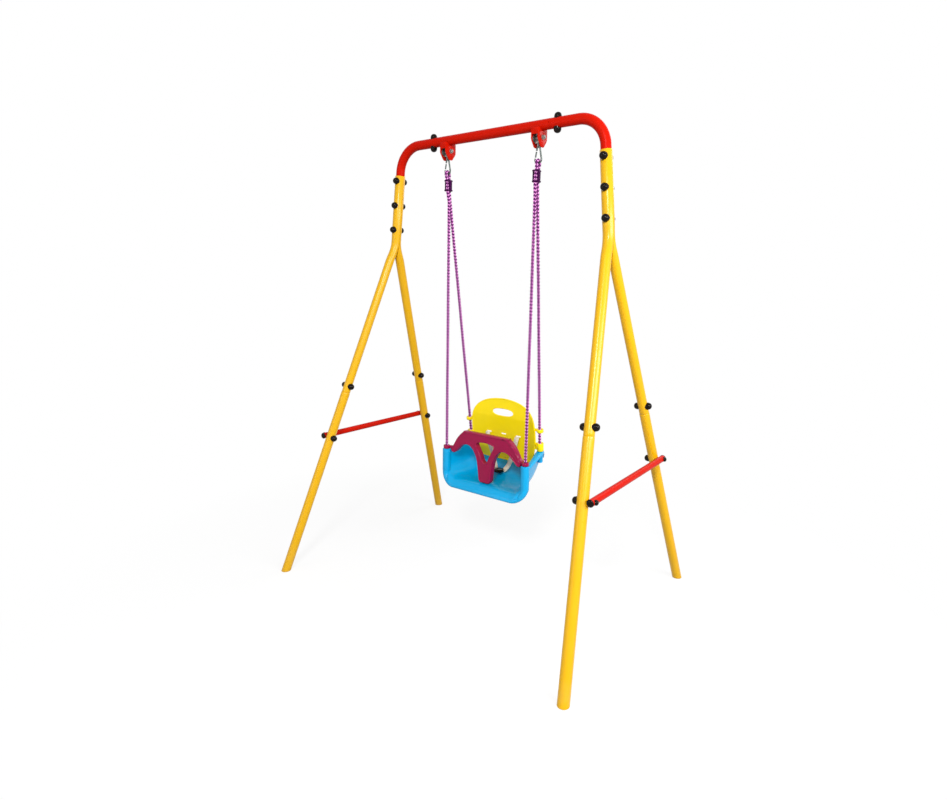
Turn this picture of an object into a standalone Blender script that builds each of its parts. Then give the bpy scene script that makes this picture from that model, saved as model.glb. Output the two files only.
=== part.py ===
"""A-frame garden swing for a toddler: a bolted tube frame with one high-backed moulded seat on two ropes.

Metres, +Z up. The top bar runs along X, the child faces -Y, and the feet stand on z = 0 around the origin.
"""
import math

import bmesh
import bpy
from mathutils import Matrix, Vector

X_AXIS = Vector((1, 0, 0))
Y_AXIS = Vector((0, 1, 0))
Z_AXIS = Vector((0, 0, 1))
SIDES = {"left": -1, "right": 1}
ENDS = {"front": -1, "rear": 1}

GAP = 0.0003                 # clearance between two pieces that touch
SKIN_GAP = 0.0009            # clearance under a saddle that only has a few facets

# Top bar and the posts bent down from it
BAR_HEIGHT = 1.700           # centre line of the top bar above the ground
BAR_RADIUS = 0.0175
CORNER_HALF = 0.438          # from the middle to where the bar's and a post's centre lines would meet
POST_LEAN = math.radians(5.8)
BEND_RADIUS = 0.100
POST_END_HEIGHT = 1.352      # lower end of the red post inside the leg clamps
BAR_SEAM = 0.245             # from the middle to the joint of the centre tube and an elbow
BAR_BOLT = 0.270             # bolt that locks that joint
SOCKET_DEPTH = 0.050
SOCKET_RADIUS = 0.0158
SWAGE_RADIUS = 0.0153
SWAGE_TAPER = 0.006

# Legs
CLAMP_TOP = 1.595            # upper end of the half shells that clamp a post
CLAMP_RADIUS = 0.0200
CLAMP_SEAM = 0.0007          # half of the slit between the two shells of a post
CLAMP_BOLTS = (1.5746, 1.480, 1.385)
KNEE = Vector((0.482, 0.026, 1.270))      # where a leg leaves the post, right rear leg
FOOT = Vector((0.644, 0.485, 0.0))        # centre of the same leg's foot
UPPER_LEG_RADIUS = 0.0175
LOWER_LEG_RADIUS = 0.01825
LEG_SEAM_HEIGHT = 0.722
LEG_BOLT_HEIGHT = 0.7485
LEG_SOCKET_DEPTH = 0.085
PLUG_FLANGE = 0.0030
PLUG_DEPTH = 0.028
PLUG_RADIUS = 0.0150

# Cross bars between the front and the rear leg of a side
CROSSBAR_HEIGHT = 0.539
CROSSBAR_RADIUS = 0.0117
CROSSBAR_OFFSET = 0.0307     # from a leg's centre line out to the bar's
CROSSBAR_OVERHANG = 0.013
BAR_PLUG_RADIUS = 0.0096     # stem of the domed plug in either end of a cross bar
BAR_PLUG_DEPTH = 0.007
BAR_PLUG_DOME = 0.0065

# Bolts with their domed plastic caps
BOLT_RADIUS = 0.0040
BOLT_HOLE = 0.0050
CAP_RADIUS = 0.0130
CAP_HEIGHT = 0.0155
SMALL_CAP_RADIUS = 0.0088
SMALL_CAP_HEIGHT = 0.0080
CAP_SIDES = 10
HOLE_SIDES = 6

# Hangers under the top bar
HANGER_X = 0.200
PIVOT_HEIGHT = 1.661
BRACKET_WIDTH = 0.028
CHEEK_THICKNESS = 0.0025
SADDLE_THICKNESS = 0.0028
EYE_HEIGHT = 1.6352          # hole of the steel eye that carries the snap hook
BARREL_RADIUS = 0.0080
WIRE_RADIUS = 0.0030
HOOK_TOP_BEND = 0.0050
HOOK_TOP_HEIGHT = 1.6306
HOOK_LOW_BEND = 0.0125
HOOK_LOW_HEIGHT = 1.5920
GATE_HINGE_HEIGHT = 1.6170
GATE_NOSE_HEIGHT = 1.5990

# Ropes and their adjusters
ROPE_RADIUS = 0.0055
ROPE_HOLE = 0.0072
FRONT_ROPE_X = 0.192
ADJUSTER = Vector((0.1955, 0.0, 1.538))
ADJUSTER_SIZE = Vector((0.0230, 0.0290, 0.042))
ADJUSTER_BAND = 0.0055       # height of the closed band at either end of an adjuster
ROPE_SPREAD = 0.0060         # the two strands stand this far before and behind the hanger's plane
STRAND_TOP = 1.5160
STRAND_SHIFT = 0.0010        # and this far to either side of the adjuster's middle
REAR_ROPE_LOW = Vector((0.1688, 0.1470, 0.4880))

# Moulded seat
SEAT_WALL = 0.0045
POST_TOP = 0.500
POST_RADIUS = 0.0170
BEAD_RADIUS = 0.0075
RIM_BOTTOM = 0.3570
RIM_CORNER = 0.0500
GUARD_PLANE = 0.0150
GUARD_DEPTH = 0.0260
FLOOR_HEIGHT = 0.3875
BACK_THICKNESS = 0.0050


def clear_scene():
    for item in list(bpy.data.objects):
        bpy.data.objects.remove(item, do_unlink=True)


def new_collection(name):
    collection = bpy.data.collections.new(name)
    bpy.context.scene.collection.children.link(collection)
    return collection


def new_material(name, colour, roughness, metallic=0.0):
    material = bpy.data.materials.new(name)
    material.use_nodes = True
    shader = material.node_tree.nodes["Principled BSDF"]
    shader.inputs["Base Color"].default_value = (*colour, 1.0)
    shader.inputs["Roughness"].default_value = roughness
    shader.inputs["Metallic"].default_value = metallic
    material.diffuse_color = (*colour, 1.0)
    return material


clear_scene()
PARTS = new_collection("toddler_swing")
CUTTERS = new_collection("cutters")
GUIDES = new_collection("guides")

RED = new_material("red_paint", (0.74, 0.015, 0.004), 0.32)
YELLOW = new_material("yellow_paint", (0.93, 0.49, 0.006), 0.34)
BLACK = new_material("black_plastic", (0.012, 0.008, 0.007), 0.40)
STEEL = new_material("zinc_steel", (0.30, 0.31, 0.31), 0.35, 1.0)
ROPE = new_material("purple_rope", (0.30, 0.030, 0.29), 0.85)
ADJUSTER_PLASTIC = new_material("dark_purple_plastic", (0.065, 0.0, 0.075), 0.45)
BLUE = new_material("blue_plastic", (0.0, 0.32, 0.75), 0.28)
SEAT_YELLOW = new_material("seat_yellow_plastic", (1.0, 0.75, 0.0), 0.35)
MAGENTA = new_material("magenta_plastic", (0.40, 0.0, 0.065), 0.30)
WEBBING = new_material("cream_webbing", (0.72, 0.62, 0.40), 0.85)


def add_object(name, mesh, collection, material=None, matrix=None):
    """Link a mesh as an object; a cutter or an operand of a Boolean goes to the cutters' collection."""
    item = bpy.data.objects.new(name, mesh)
    if matrix is not None:
        item.matrix_world = matrix
    collection.objects.link(item)
    if material:
        mesh.materials.clear()
        mesh.materials.append(material)
    if collection is not PARTS:
        item.hide_render = True
        item.display_type = "WIRE"
    return item


def mesh_from(bm, name, smooth=True):
    bmesh.ops.recalc_face_normals(bm, faces=bm.faces)
    mesh = bpy.data.meshes.new(name)
    bm.to_mesh(mesh)
    bm.free()
    if smooth:
        mesh.shade_smooth()
        mesh.set_sharp_from_angle(angle=math.radians(35))
    return mesh


def frame_matrix(origin, z_direction, y_direction):
    """A matrix whose local Z and Y follow the given directions as far as they are square to each other."""
    z = Vector(z_direction).normalized()
    x = Vector(y_direction).cross(z).normalized()
    y = z.cross(x)
    matrix = Matrix((x, y, z)).transposed().to_4x4()
    matrix.translation = Vector(origin)
    return matrix


def clear_of(radius, sides):
    """Radius of a bore with this many facets that a round piece of the given radius passes with the usual gap."""
    return (radius + GAP) / math.cos(math.pi / sides)


def rod(name, start, end, radius, sides=16, collection=None, material=None, end_radius=None, squash=None):
    """A cylinder or a cone between two points; squash stretches its section along the local X and Y."""
    start, end = Vector(start), Vector(end)
    along = end - start
    bm = bmesh.new()
    bmesh.ops.create_cone(bm, cap_ends=True, segments=sides, radius1=radius, depth=along.length,
                          radius2=radius if end_radius is None else end_radius)
    if squash:
        bmesh.ops.scale(bm, vec=(squash[0], squash[1], 1.0), verts=bm.verts)
    hint = X_AXIS if abs(along.normalized().dot(Y_AXIS)) > 0.9 else Y_AXIS
    matrix = frame_matrix((start + end) / 2, along, hint)
    return add_object(name, mesh_from(bm, name), collection or CUTTERS, material, matrix)


def block(name, centre, size, collection=None, material=None, bevel=0.0):
    bm = bmesh.new()
    bmesh.ops.create_cube(bm, size=1.0)
    bmesh.ops.scale(bm, vec=size, verts=bm.verts)
    if bevel:
        bmesh.ops.bevel(bm, geom=bm.edges[:], offset=bevel, segments=1, affect="EDGES")
    return add_object(name, mesh_from(bm, name), collection or CUTTERS, material, Matrix.Translation(centre))


def combine(target, other, operation):
    modifier = target.modifiers.new(operation.lower() + "_" + other.name, "BOOLEAN")
    modifier.operation = operation
    modifier.object = other
    return target


def cut(target, *cutters):
    for cutter in cutters:
        combine(target, cutter, "DIFFERENCE")
    return target


def join(target, *pieces):
    for piece in pieces:
        combine(target, piece, "UNION")
    return target


def turned(name, profile, matrix, sides=16, collection=None, material=None):
    """A turned solid: (radius, height) points from the top of the outer side to its foot, turned about local Z."""
    bm = bmesh.new()
    verts = [bm.verts.new((radius, 0.0, height)) for radius, height in profile]
    for first, second in zip(verts, verts[1:]):
        bm.edges.new((first, second))
    mesh = bpy.data.meshes.new(name)
    bm.to_mesh(mesh)
    bm.free()
    item = add_object(name, mesh, collection or PARTS, material, matrix)
    screw = item.modifiers.new("turn", "SCREW")
    screw.steps = screw.render_steps = sides
    screw.use_merge_vertices = True
    screw.merge_threshold = 0.00005
    screw.use_smooth_shade = True
    return item


def swept(name, points, radius, resolution=4, collection=None, material=None, radii=None):
    """A round tube along points, as a welded mesh; radii scale the radius point by point."""
    curve = bpy.data.curves.new(name + "_path", "CURVE")
    curve.dimensions = "3D"
    curve.bevel_depth = radius
    curve.bevel_resolution = resolution
    curve.use_fill_caps = True
    spline = curve.splines.new("POLY")
    spline.points.add(len(points) - 1)
    for index, point in enumerate(points):
        spline.points[index].co = (*point, 1.0)
        spline.points[index].radius = radii[index] if radii else 1.0
    return welded(name, curve, collection, material)


def plate(name, outline, thickness, matrix, holes=(), bevel=0.0, collection=None, material=None):
    """A flat plate from an outline in local X and Y, centred on its thickness."""
    curve = bpy.data.curves.new(name + "_outline", "CURVE")
    curve.dimensions = "2D"
    curve.fill_mode = "BOTH"
    curve.extrude = thickness / 2 - bevel
    curve.bevel_depth = bevel
    curve.bevel_resolution = 1
    curve.offset = -bevel
    for loop in (outline, *holes):
        spline = curve.splines.new("POLY")
        spline.points.add(len(loop) - 1)
        for index, (x, y) in enumerate(loop):
            spline.points[index].co = (x, y, 0.0, 1.0)
        spline.use_cyclic_u = True
    return welded(name, curve, collection, material, matrix)


def welded(name, curve, collection, material, matrix=None):
    """The evaluated curve as a mesh with its loose caps joined on."""
    guide = bpy.data.objects.new(name + "_guide", curve)
    GUIDES.objects.link(guide)
    bpy.context.view_layer.update()
    evaluated = guide.evaluated_get(bpy.context.evaluated_depsgraph_get())
    mesh = bpy.data.meshes.new_from_object(evaluated)
    mesh.name = name
    bpy.data.objects.remove(guide, do_unlink=True)
    bpy.data.curves.remove(curve)
    bm = bmesh.new()
    bm.from_mesh(mesh)
    bmesh.ops.remove_doubles(bm, verts=bm.verts, dist=0.00002)
    bmesh.ops.recalc_face_normals(bm, faces=bm.faces)
    bm.to_mesh(mesh)
    bm.free()
    mesh.shade_smooth()
    mesh.set_sharp_from_angle(angle=math.radians(35))
    return add_object(name, mesh, collection or PARTS, material, matrix)


def loft(name, rings, collection=None, material=None):
    """A closed solid through rings of equal point counts, with flat ends."""
    bm = bmesh.new()
    rows = [[bm.verts.new(point) for point in ring] for ring in rings]
    for lower, upper in zip(rows, rows[1:]):
        for index in range(len(lower)):
            after = (index + 1) % len(lower)
            bm.faces.new((lower[index], lower[after], upper[after], upper[index]))
    bm.faces.new(rows[0])
    bm.faces.new(rows[-1])
    return add_object(name, mesh_from(bm, name), collection or PARTS, material)


def arc(centre, radius, start, end, steps):
    """Points (x, y) of an arc, from one angle to another in degrees."""
    points = []
    for index in range(steps + 1):
        angle = math.radians(start + (end - start) * index / steps)
        points.append((centre[0] + radius * math.cos(angle), centre[1] + radius * math.sin(angle)))
    return points


def mirrored(half):
    """A whole outline from its right half, which runs from the top middle to the bottom middle."""
    left = [(-x, y) for x, y in reversed(half) if abs(x) > 1e-6]
    return list(half) + left


def post_point(side, height):
    return Vector((side * (CORNER_HALF + (BAR_HEIGHT - height) * math.tan(POST_LEAN)), 0.0, height))


def post_direction(side):
    """Unit vector down a post."""
    return Vector((side * math.sin(POST_LEAN), 0.0, -math.cos(POST_LEAN)))


def flip(point, side, end):
    """The point of the right rear leg at another leg."""
    return Vector((side * point.x, end * point.y, point.z))


def leg_point(side, end, height):
    share = (KNEE.z - height) / (KNEE.z - FOOT.z)
    return flip(KNEE.lerp(FOOT, share), side, end)


def leg_direction(side, end):
    """Unit vector down the straight part of a leg."""
    return (flip(FOOT, side, end) - flip(KNEE, side, end)).normalized()


def leg_bolt_axis(side, end):
    """Outward direction square to a leg, as near to X as that allows."""
    along = leg_direction(side, end)
    outward = side * X_AXIS
    return (outward - outward.dot(along) * along).normalized()


def saddle_height(matrix, tube_axis, tube_radius, x, y):
    """Height over a round tube's centre line of its surface, seen along local Z at local x, y."""
    axis = matrix.to_3x3().transposed() @ Vector(tube_axis)
    across = Vector((axis.y, -axis.x)).normalized()
    offset = abs(Vector((x, y)).dot(across))
    return math.sqrt(max((tube_radius + SKIN_GAP) ** 2 - offset ** 2, 0.0))


def make_bolt(name, centre, axis, tube_axis, low, high, parent):
    """A bolt whose domed caps sit astride round tubes.

    low and high are (distance of the tube's centre line, tube radius, cap radius, cap height, tube's direction).
    """
    matrix = frame_matrix(centre, axis, tube_axis)

    def cap_profile(distance, tube_radius, cap_radius, cap_height, _):
        crown = distance + tube_radius + SKIN_GAP
        seat = distance + 0.5 * tube_radius
        return [(0.0, crown + cap_height), (0.62 * cap_radius, crown + 0.84 * cap_height),
                (cap_radius, crown + 0.32 * cap_height), (cap_radius, seat), (BOLT_RADIUS, seat)]

    upper = cap_profile(*high)
    lower = [(radius, -height) for radius, height in reversed(cap_profile(*low))]
    bm = bmesh.new()
    verts = [bm.verts.new((radius, 0.0, height)) for radius, height in upper + lower]
    edges = [bm.edges.new(pair) for pair in zip(verts, verts[1:])]
    bmesh.ops.spin(bm, geom=verts + edges, cent=(0, 0, 0), axis=(0, 0, 1), dvec=(0, 0, 0),
                   angle=2 * math.pi, steps=CAP_SIDES, use_merge=True, use_duplicate=False)
    bmesh.ops.remove_doubles(bm, verts=bm.verts, dist=0.00001)
    for vert in bm.verts:
        for sign, (distance, tube_radius, _, _, direction) in ((1, high), (-1, low)):
            if abs(sign * vert.co.z - distance - 0.5 * tube_radius) < 1e-6:
                height = saddle_height(matrix, direction, tube_radius, vert.co.x, vert.co.y)
                vert.co.z = sign * (distance + height)
                break
    bolt = add_object(name, mesh_from(bm, name), PARTS, BLACK, matrix)
    ride_on(bolt, parent)
    return bolt


def empty_at(name, location, parent=None):
    """An empty that carries the pieces of one moving body, on that body's joint axis."""
    item = bpy.data.objects.new(name, None)
    item.location = location
    PARTS.objects.link(item)
    if parent:
        item.parent = parent
        item.location = Vector(location) - parent.location
    bpy.context.view_layer.update()
    return item


def ride_on(item, carrier):
    item.parent = carrier
    item.matrix_parent_inverse = carrier.matrix_world.inverted()
    return item


def make_top_bar(frame):
    swage_end = BAR_SEAM + SOCKET_DEPTH - 0.004
    profile = [(0.0, swage_end), (SWAGE_RADIUS - 0.001, swage_end), (SWAGE_RADIUS, swage_end - 0.002),
               (SWAGE_RADIUS, BAR_SEAM + SWAGE_TAPER), (SWAGE_RADIUS, BAR_SEAM), (BAR_RADIUS, BAR_SEAM - 0.0005)]
    profile += [(radius, -height) for radius, height in reversed(profile)]
    lying = frame_matrix((0, 0, BAR_HEIGHT), X_AXIS, Y_AXIS)
    centre = turned("top_bar_centre", profile, lying, 16, PARTS, RED)
    ride_on(centre, frame)
    for word, side in SIDES.items():
        turn = math.pi / 2 - POST_LEAN
        tangent = BEND_RADIUS * math.tan(turn / 2)
        bend_start = Vector((side * (CORNER_HALF - tangent), 0.0, BAR_HEIGHT))
        points = [Vector((side * BAR_SEAM, 0.0, BAR_HEIGHT)), bend_start]
        steps = 5
        for index in range(1, steps + 1):
            angle = turn * index / steps
            points.append(bend_start + Vector((side * BEND_RADIUS * math.sin(angle), 0.0,
                                               -BEND_RADIUS * (1 - math.cos(angle)))))
        points.append(post_point(side, POST_END_HEIGHT))
        elbow = swept("top_elbow_" + word, points, BAR_RADIUS, 5, PARTS, RED)
        bore = clear_of(SOCKET_RADIUS, 16) - GAP
        start = Vector((side * (BAR_SEAM - 0.01), 0.0, BAR_HEIGHT))
        socket = rod("socket_" + word, start, start + side * (SOCKET_DEPTH + 0.01) * X_AXIS, bore, 16)
        hole_at = Vector((side * BAR_BOLT, 0.0, BAR_HEIGHT))
        hole = rod("bar_hole_" + word, hole_at - 0.03 * Z_AXIS, hole_at + 0.03 * Z_AXIS, BOLT_HOLE, HOLE_SIDES)
        cut(elbow, socket, hole)
        cut(centre, hole)
        for index, height in enumerate(CLAMP_BOLTS, 1):
            at = post_point(side, height)
            clamp_hole = rod(f"clamp_hole_{word}_{index}", at - 0.04 * Y_AXIS, at + 0.04 * Y_AXIS, BOLT_HOLE, HOLE_SIDES)
            cut(elbow, clamp_hole)
        ride_on(elbow, frame)
        cap = (0.0, BAR_RADIUS, CAP_RADIUS, CAP_HEIGHT, X_AXIS)
        make_bolt("bar_bolt_" + word, hole_at, Z_AXIS, X_AXIS, cap, cap, frame)


def half_round(side, end, radius, centre, down):
    """Sixteen points of a leg's D-shaped section astride the post, flat on the side of its partner."""
    across = (side * X_AXIS - (side * X_AXIS).dot(down) * down).normalized()
    outward = end * Y_AXIS
    points = [(radius * math.cos(angle), radius * math.sin(angle))
              for angle in (math.radians(4 + 172 * index / 10) for index in range(11))]
    points += [(-0.8 * radius + 0.4 * radius * index, CLAMP_SEAM) for index in range(5)]
    return [centre + x * across + max(y, CLAMP_SEAM) * outward for x, y in points]


def full_round(side, end, radius, centre, down):
    """Sixteen points of a leg's round section, in step with half_round."""
    across = (side * X_AXIS - (side * X_AXIS).dot(down) * down).normalized()
    outward = (end * Y_AXIS - (end * Y_AXIS).dot(down) * down).normalized()
    ring = []
    for index in range(16):
        angle = math.radians(-22.5 + 22.5 * index)
        ring.append(centre + radius * (math.cos(angle) * across + math.sin(angle) * outward))
    return ring


def make_legs(frame):
    for word, side in SIDES.items():
        for place, end in ENDS.items():
            tag = f"{place}_{word}"
            down_post = post_direction(side)
            down_leg = leg_direction(side, end)
            seam = leg_point(side, end, LEG_SEAM_HEIGHT)
            clamp_low = POST_END_HEIGHT - 0.004
            half = [half_round(side, end, CLAMP_RADIUS, post_point(side, height), down_post)
                    for height in (CLAMP_TOP, clamp_low)]
            knee = leg_point(side, end, KNEE.z - 0.012)
            blend_down = (down_post + down_leg).normalized()
            middle_height = 0.5 * (clamp_low + knee.z)
            first = half_round(side, end, CLAMP_RADIUS, post_point(side, middle_height), down_post)
            second = full_round(side, end, UPPER_LEG_RADIUS, leg_point(side, end, middle_height), blend_down)
            middle = [a.lerp(b, 0.5) for a, b in zip(first, second)]
            middle = [Vector((p.x, end * max(end * p.y, CLAMP_SEAM), p.z)) for p in middle]
            rings = half + [middle, full_round(side, end, UPPER_LEG_RADIUS, knee, down_leg),
                            full_round(side, end, UPPER_LEG_RADIUS, seam, down_leg)]
            upper = loft("upper_leg_" + tag, rings, PARTS, YELLOW)
            post = rod("post_bore_" + tag, post_point(side, CLAMP_TOP + 0.02), post_point(side, POST_END_HEIGHT - 0.0006),
                       clear_of(BAR_RADIUS, 18), 18)
            socket = rod("leg_socket_" + tag, seam + 0.01 * down_leg, seam - LEG_SOCKET_DEPTH * down_leg,
                         clear_of(SOCKET_RADIUS, 16) - GAP, 16)
            cut(upper, post, socket)
            for index, height in enumerate(CLAMP_BOLTS, 1):
                at = post_point(side, height)
                cut(upper, rod(f"shell_hole_{tag}_{index}", at, at + end * 0.04 * Y_AXIS, BOLT_HOLE, HOLE_SIDES))
            axis = leg_bolt_axis(side, end)
            bolt_at = leg_point(side, end, LEG_BOLT_HEIGHT)
            bolt_hole = rod("leg_hole_" + tag, bolt_at - 0.03 * axis, bolt_at + 0.03 * axis, BOLT_HOLE, HOLE_SIDES)
            cut(upper, bolt_hole)

            length = (seam - flip(FOOT, side, end)).length + 0.03
            swage = LEG_SOCKET_DEPTH - 0.006
            profile = [(0.0, swage), (SWAGE_RADIUS - 0.001, swage), (SWAGE_RADIUS, swage - 0.002),
                       (SWAGE_RADIUS, 0.0), (LOWER_LEG_RADIUS - 0.0006, -GAP), (LOWER_LEG_RADIUS, -0.004),
                       (LOWER_LEG_RADIUS, -length), (0.0, -length)]
            lower = turned("lower_leg_" + tag, profile, frame_matrix(seam, -down_leg, Y_AXIS), 16, PARTS, YELLOW)
            cross_at = leg_point(side, end, CROSSBAR_HEIGHT)
            cross_hole = rod("cross_hole_" + tag, cross_at - 0.03 * axis, cross_at + 0.03 * axis, BOLT_HOLE, HOLE_SIDES)
            foot = flip(FOOT, side, end)
            ground = block("ground_" + tag, foot + Vector((0, 0, PLUG_FLANGE - 0.05)), (0.12, 0.12, 0.10))
            plug_bore = rod("plug_bore_" + tag, foot + 0.01 * down_leg, foot - (PLUG_DEPTH + 0.004) * down_leg,
                            clear_of(PLUG_RADIUS, 12), 12)
            cut(lower, bolt_hole, cross_hole, ground, plug_bore)
            ride_on(upper, frame)
            ride_on(lower, frame)
            make_foot_plug(tag, foot, down_leg, frame)

            cap = (0.0, UPPER_LEG_RADIUS + 0.0006, CAP_RADIUS, CAP_HEIGHT, down_leg)
            make_bolt("leg_bolt_" + tag, bolt_at, axis, down_leg, cap, cap, frame)
        for index, height in enumerate(CLAMP_BOLTS, 1):
            cap = (0.0, CLAMP_RADIUS, CAP_RADIUS, CAP_HEIGHT, post_direction(side))
            make_bolt(f"clamp_bolt_{word}_{index}", post_point(side, height), Y_AXIS, post_direction(side), cap, cap,
                      frame)


def make_foot_plug(tag, foot, down_leg, frame):
    """A push-in end plug whose flange stands flat on the ground."""
    stretch = 1 / abs(down_leg.z)
    bm = bmesh.new()
    bmesh.ops.create_cone(bm, cap_ends=True, segments=16, radius1=LOWER_LEG_RADIUS, radius2=LOWER_LEG_RADIUS,
                          depth=PLUG_FLANGE - GAP)
    bmesh.ops.scale(bm, vec=(stretch, 1, 1), verts=bm.verts)
    heading = math.atan2(down_leg.y, down_leg.x)
    level = Matrix.Translation(foot + Vector((0, 0, (PLUG_FLANGE - GAP) / 2))) @ Matrix.Rotation(heading, 4, "Z")
    plug = add_object("foot_plug_" + tag, mesh_from(bm, "foot_plug"), PARTS, YELLOW, level)
    stem = rod("plug_stem_" + tag, foot - 0.0068 * down_leg, foot - PLUG_DEPTH * down_leg, PLUG_RADIUS, 12)
    join(plug, stem)
    ride_on(plug, frame)


def make_crossbars(frame):
    for word, side in SIDES.items():
        ends = {}
        for place, end in ENDS.items():
            axis = leg_bolt_axis(side, end)
            at = leg_point(side, end, CROSSBAR_HEIGHT)
            ends[place] = at + CROSSBAR_OFFSET * axis
            inner = (0.0, LOWER_LEG_RADIUS, CAP_RADIUS, CAP_HEIGHT, leg_direction(side, end))
            outer = (CROSSBAR_OFFSET, CROSSBAR_RADIUS, SMALL_CAP_RADIUS, SMALL_CAP_HEIGHT, Y_AXIS)
            make_bolt(f"crossbar_bolt_{place}_{word}", at, axis, leg_direction(side, end), inner, outer, frame)
        start = ends["front"] - CROSSBAR_OVERHANG * Y_AXIS
        stop = ends["rear"] + CROSSBAR_OVERHANG * Y_AXIS
        bar = rod("crossbar_" + word, start, stop, CROSSBAR_RADIUS, 14, PARTS, RED)
        for place, end in ENDS.items():
            axis = leg_bolt_axis(side, end)
            hole = rod(f"bar_end_hole_{place}_{word}", ends[place] - 0.016 * axis, ends[place] + 0.016 * axis,
                       BOLT_HOLE, HOLE_SIDES)
            tip = start if end < 0 else stop
            bore = rod(f"bar_bore_{place}_{word}", tip - end * (BAR_PLUG_DEPTH + 0.0006) * Y_AXIS,
                       tip + end * 0.01 * Y_AXIS, clear_of(BAR_PLUG_RADIUS, 10), 10)
            cut(bar, hole, bore)
            make_bar_plug(f"{place}_{word}", tip, end, frame)
        ride_on(bar, frame)


def make_bar_plug(tag, tip, end, frame):
    """A domed plug pushed into the end of a cross bar."""
    dome, brim = BAR_PLUG_DOME, CROSSBAR_RADIUS + 0.0006
    profile = [(0.0, dome), (0.62 * brim, 0.84 * dome), (brim, 0.32 * dome), (brim, GAP),
               (BAR_PLUG_RADIUS, GAP), (BAR_PLUG_RADIUS, -BAR_PLUG_DEPTH), (0.0, -BAR_PLUG_DEPTH)]
    plug = turned("crossbar_plug_" + tag, profile, frame_matrix(tip, end * Y_AXIS, X_AXIS), 10, PARTS, BLACK)
    ride_on(plug, frame)


def make_brackets(frame):
    """Two cheeks joined by a saddle and two short webs under the bar, with the pivot bolt through them."""
    outline = [(-0.0285, 1.6905), (-0.0300, 1.6860), (-0.0300, 1.6560), (-0.0270, 1.6500), (-0.0110, 1.6310),
               (-0.0060, 1.6290), (0.0060, 1.6290), (0.0110, 1.6310), (0.0270, 1.6500), (0.0300, 1.6560),
               (0.0300, 1.6860), (0.0285, 1.6905)]
    for word, side in SIDES.items():
        x = side * HANGER_X
        across = Matrix.Translation((x, 0, 0)) @ Matrix((Y_AXIS, Z_AXIS, X_AXIS)).transposed().to_4x4()
        bracket = plate("hanger_bracket_" + word, outline, BRACKET_WIDTH, across, material=RED)
        bar = rod("bar_space_" + word, (x - 0.03, 0, BAR_HEIGHT), (x + 0.03, 0, BAR_HEIGHT),
                  clear_of(BAR_RADIUS, 16), 16)
        inside = block("channel_" + word, (x, 0, 1.660), (BRACKET_WIDTH - 2 * CHEEK_THICKNESS, 0.0540, 0.080))
        mouth = block("mouth_" + word, (x, 0, 1.640), (BRACKET_WIDTH - 2 * CHEEK_THICKNESS, 0.09, 0.056))
        keep = rod("saddle_" + word, (x - 0.03, 0, BAR_HEIGHT), (x + 0.03, 0, BAR_HEIGHT),
                   BAR_RADIUS + SADDLE_THICKNESS, 16)
        cut(inside, keep)
        pivot = Vector((x, 0, PIVOT_HEIGHT))
        hole = rod("pivot_hole_" + word, pivot - 0.03 * X_AXIS, pivot + 0.03 * X_AXIS, clear_of(BOLT_RADIUS, 12), 12)
        cut(bracket, bar, inside, mouth, hole)
        ride_on(bracket, frame)
        make_pivot_bolt(word, pivot, frame)


def make_pivot_bolt(word, pivot, frame):
    """Hexagon bolt with its washer and nut run up, threaded end to +X."""
    face = BRACKET_WIDTH / 2 + GAP
    bolt = rod("pivot_bolt_" + word, pivot - (face + 0.001) * X_AXIS, pivot + (face + 0.010) * X_AXIS,
               BOLT_RADIUS, 12, PARTS, STEEL)
    head = rod("bolt_head_" + word, pivot - (face + 0.0055) * X_AXIS, pivot - face * X_AXIS, 0.0072, 6)
    washer = rod("washer_" + word, pivot + face * X_AXIS, pivot + (face + 0.0014) * X_AXIS, 0.0082, 16)
    nut = rod("nut_" + word, pivot + (face + 0.0010) * X_AXIS, pivot + (face + 0.0075) * X_AXIS, 0.0072, 6)
    join(bolt, head, washer, nut)
    ride_on(bolt, frame)


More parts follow.
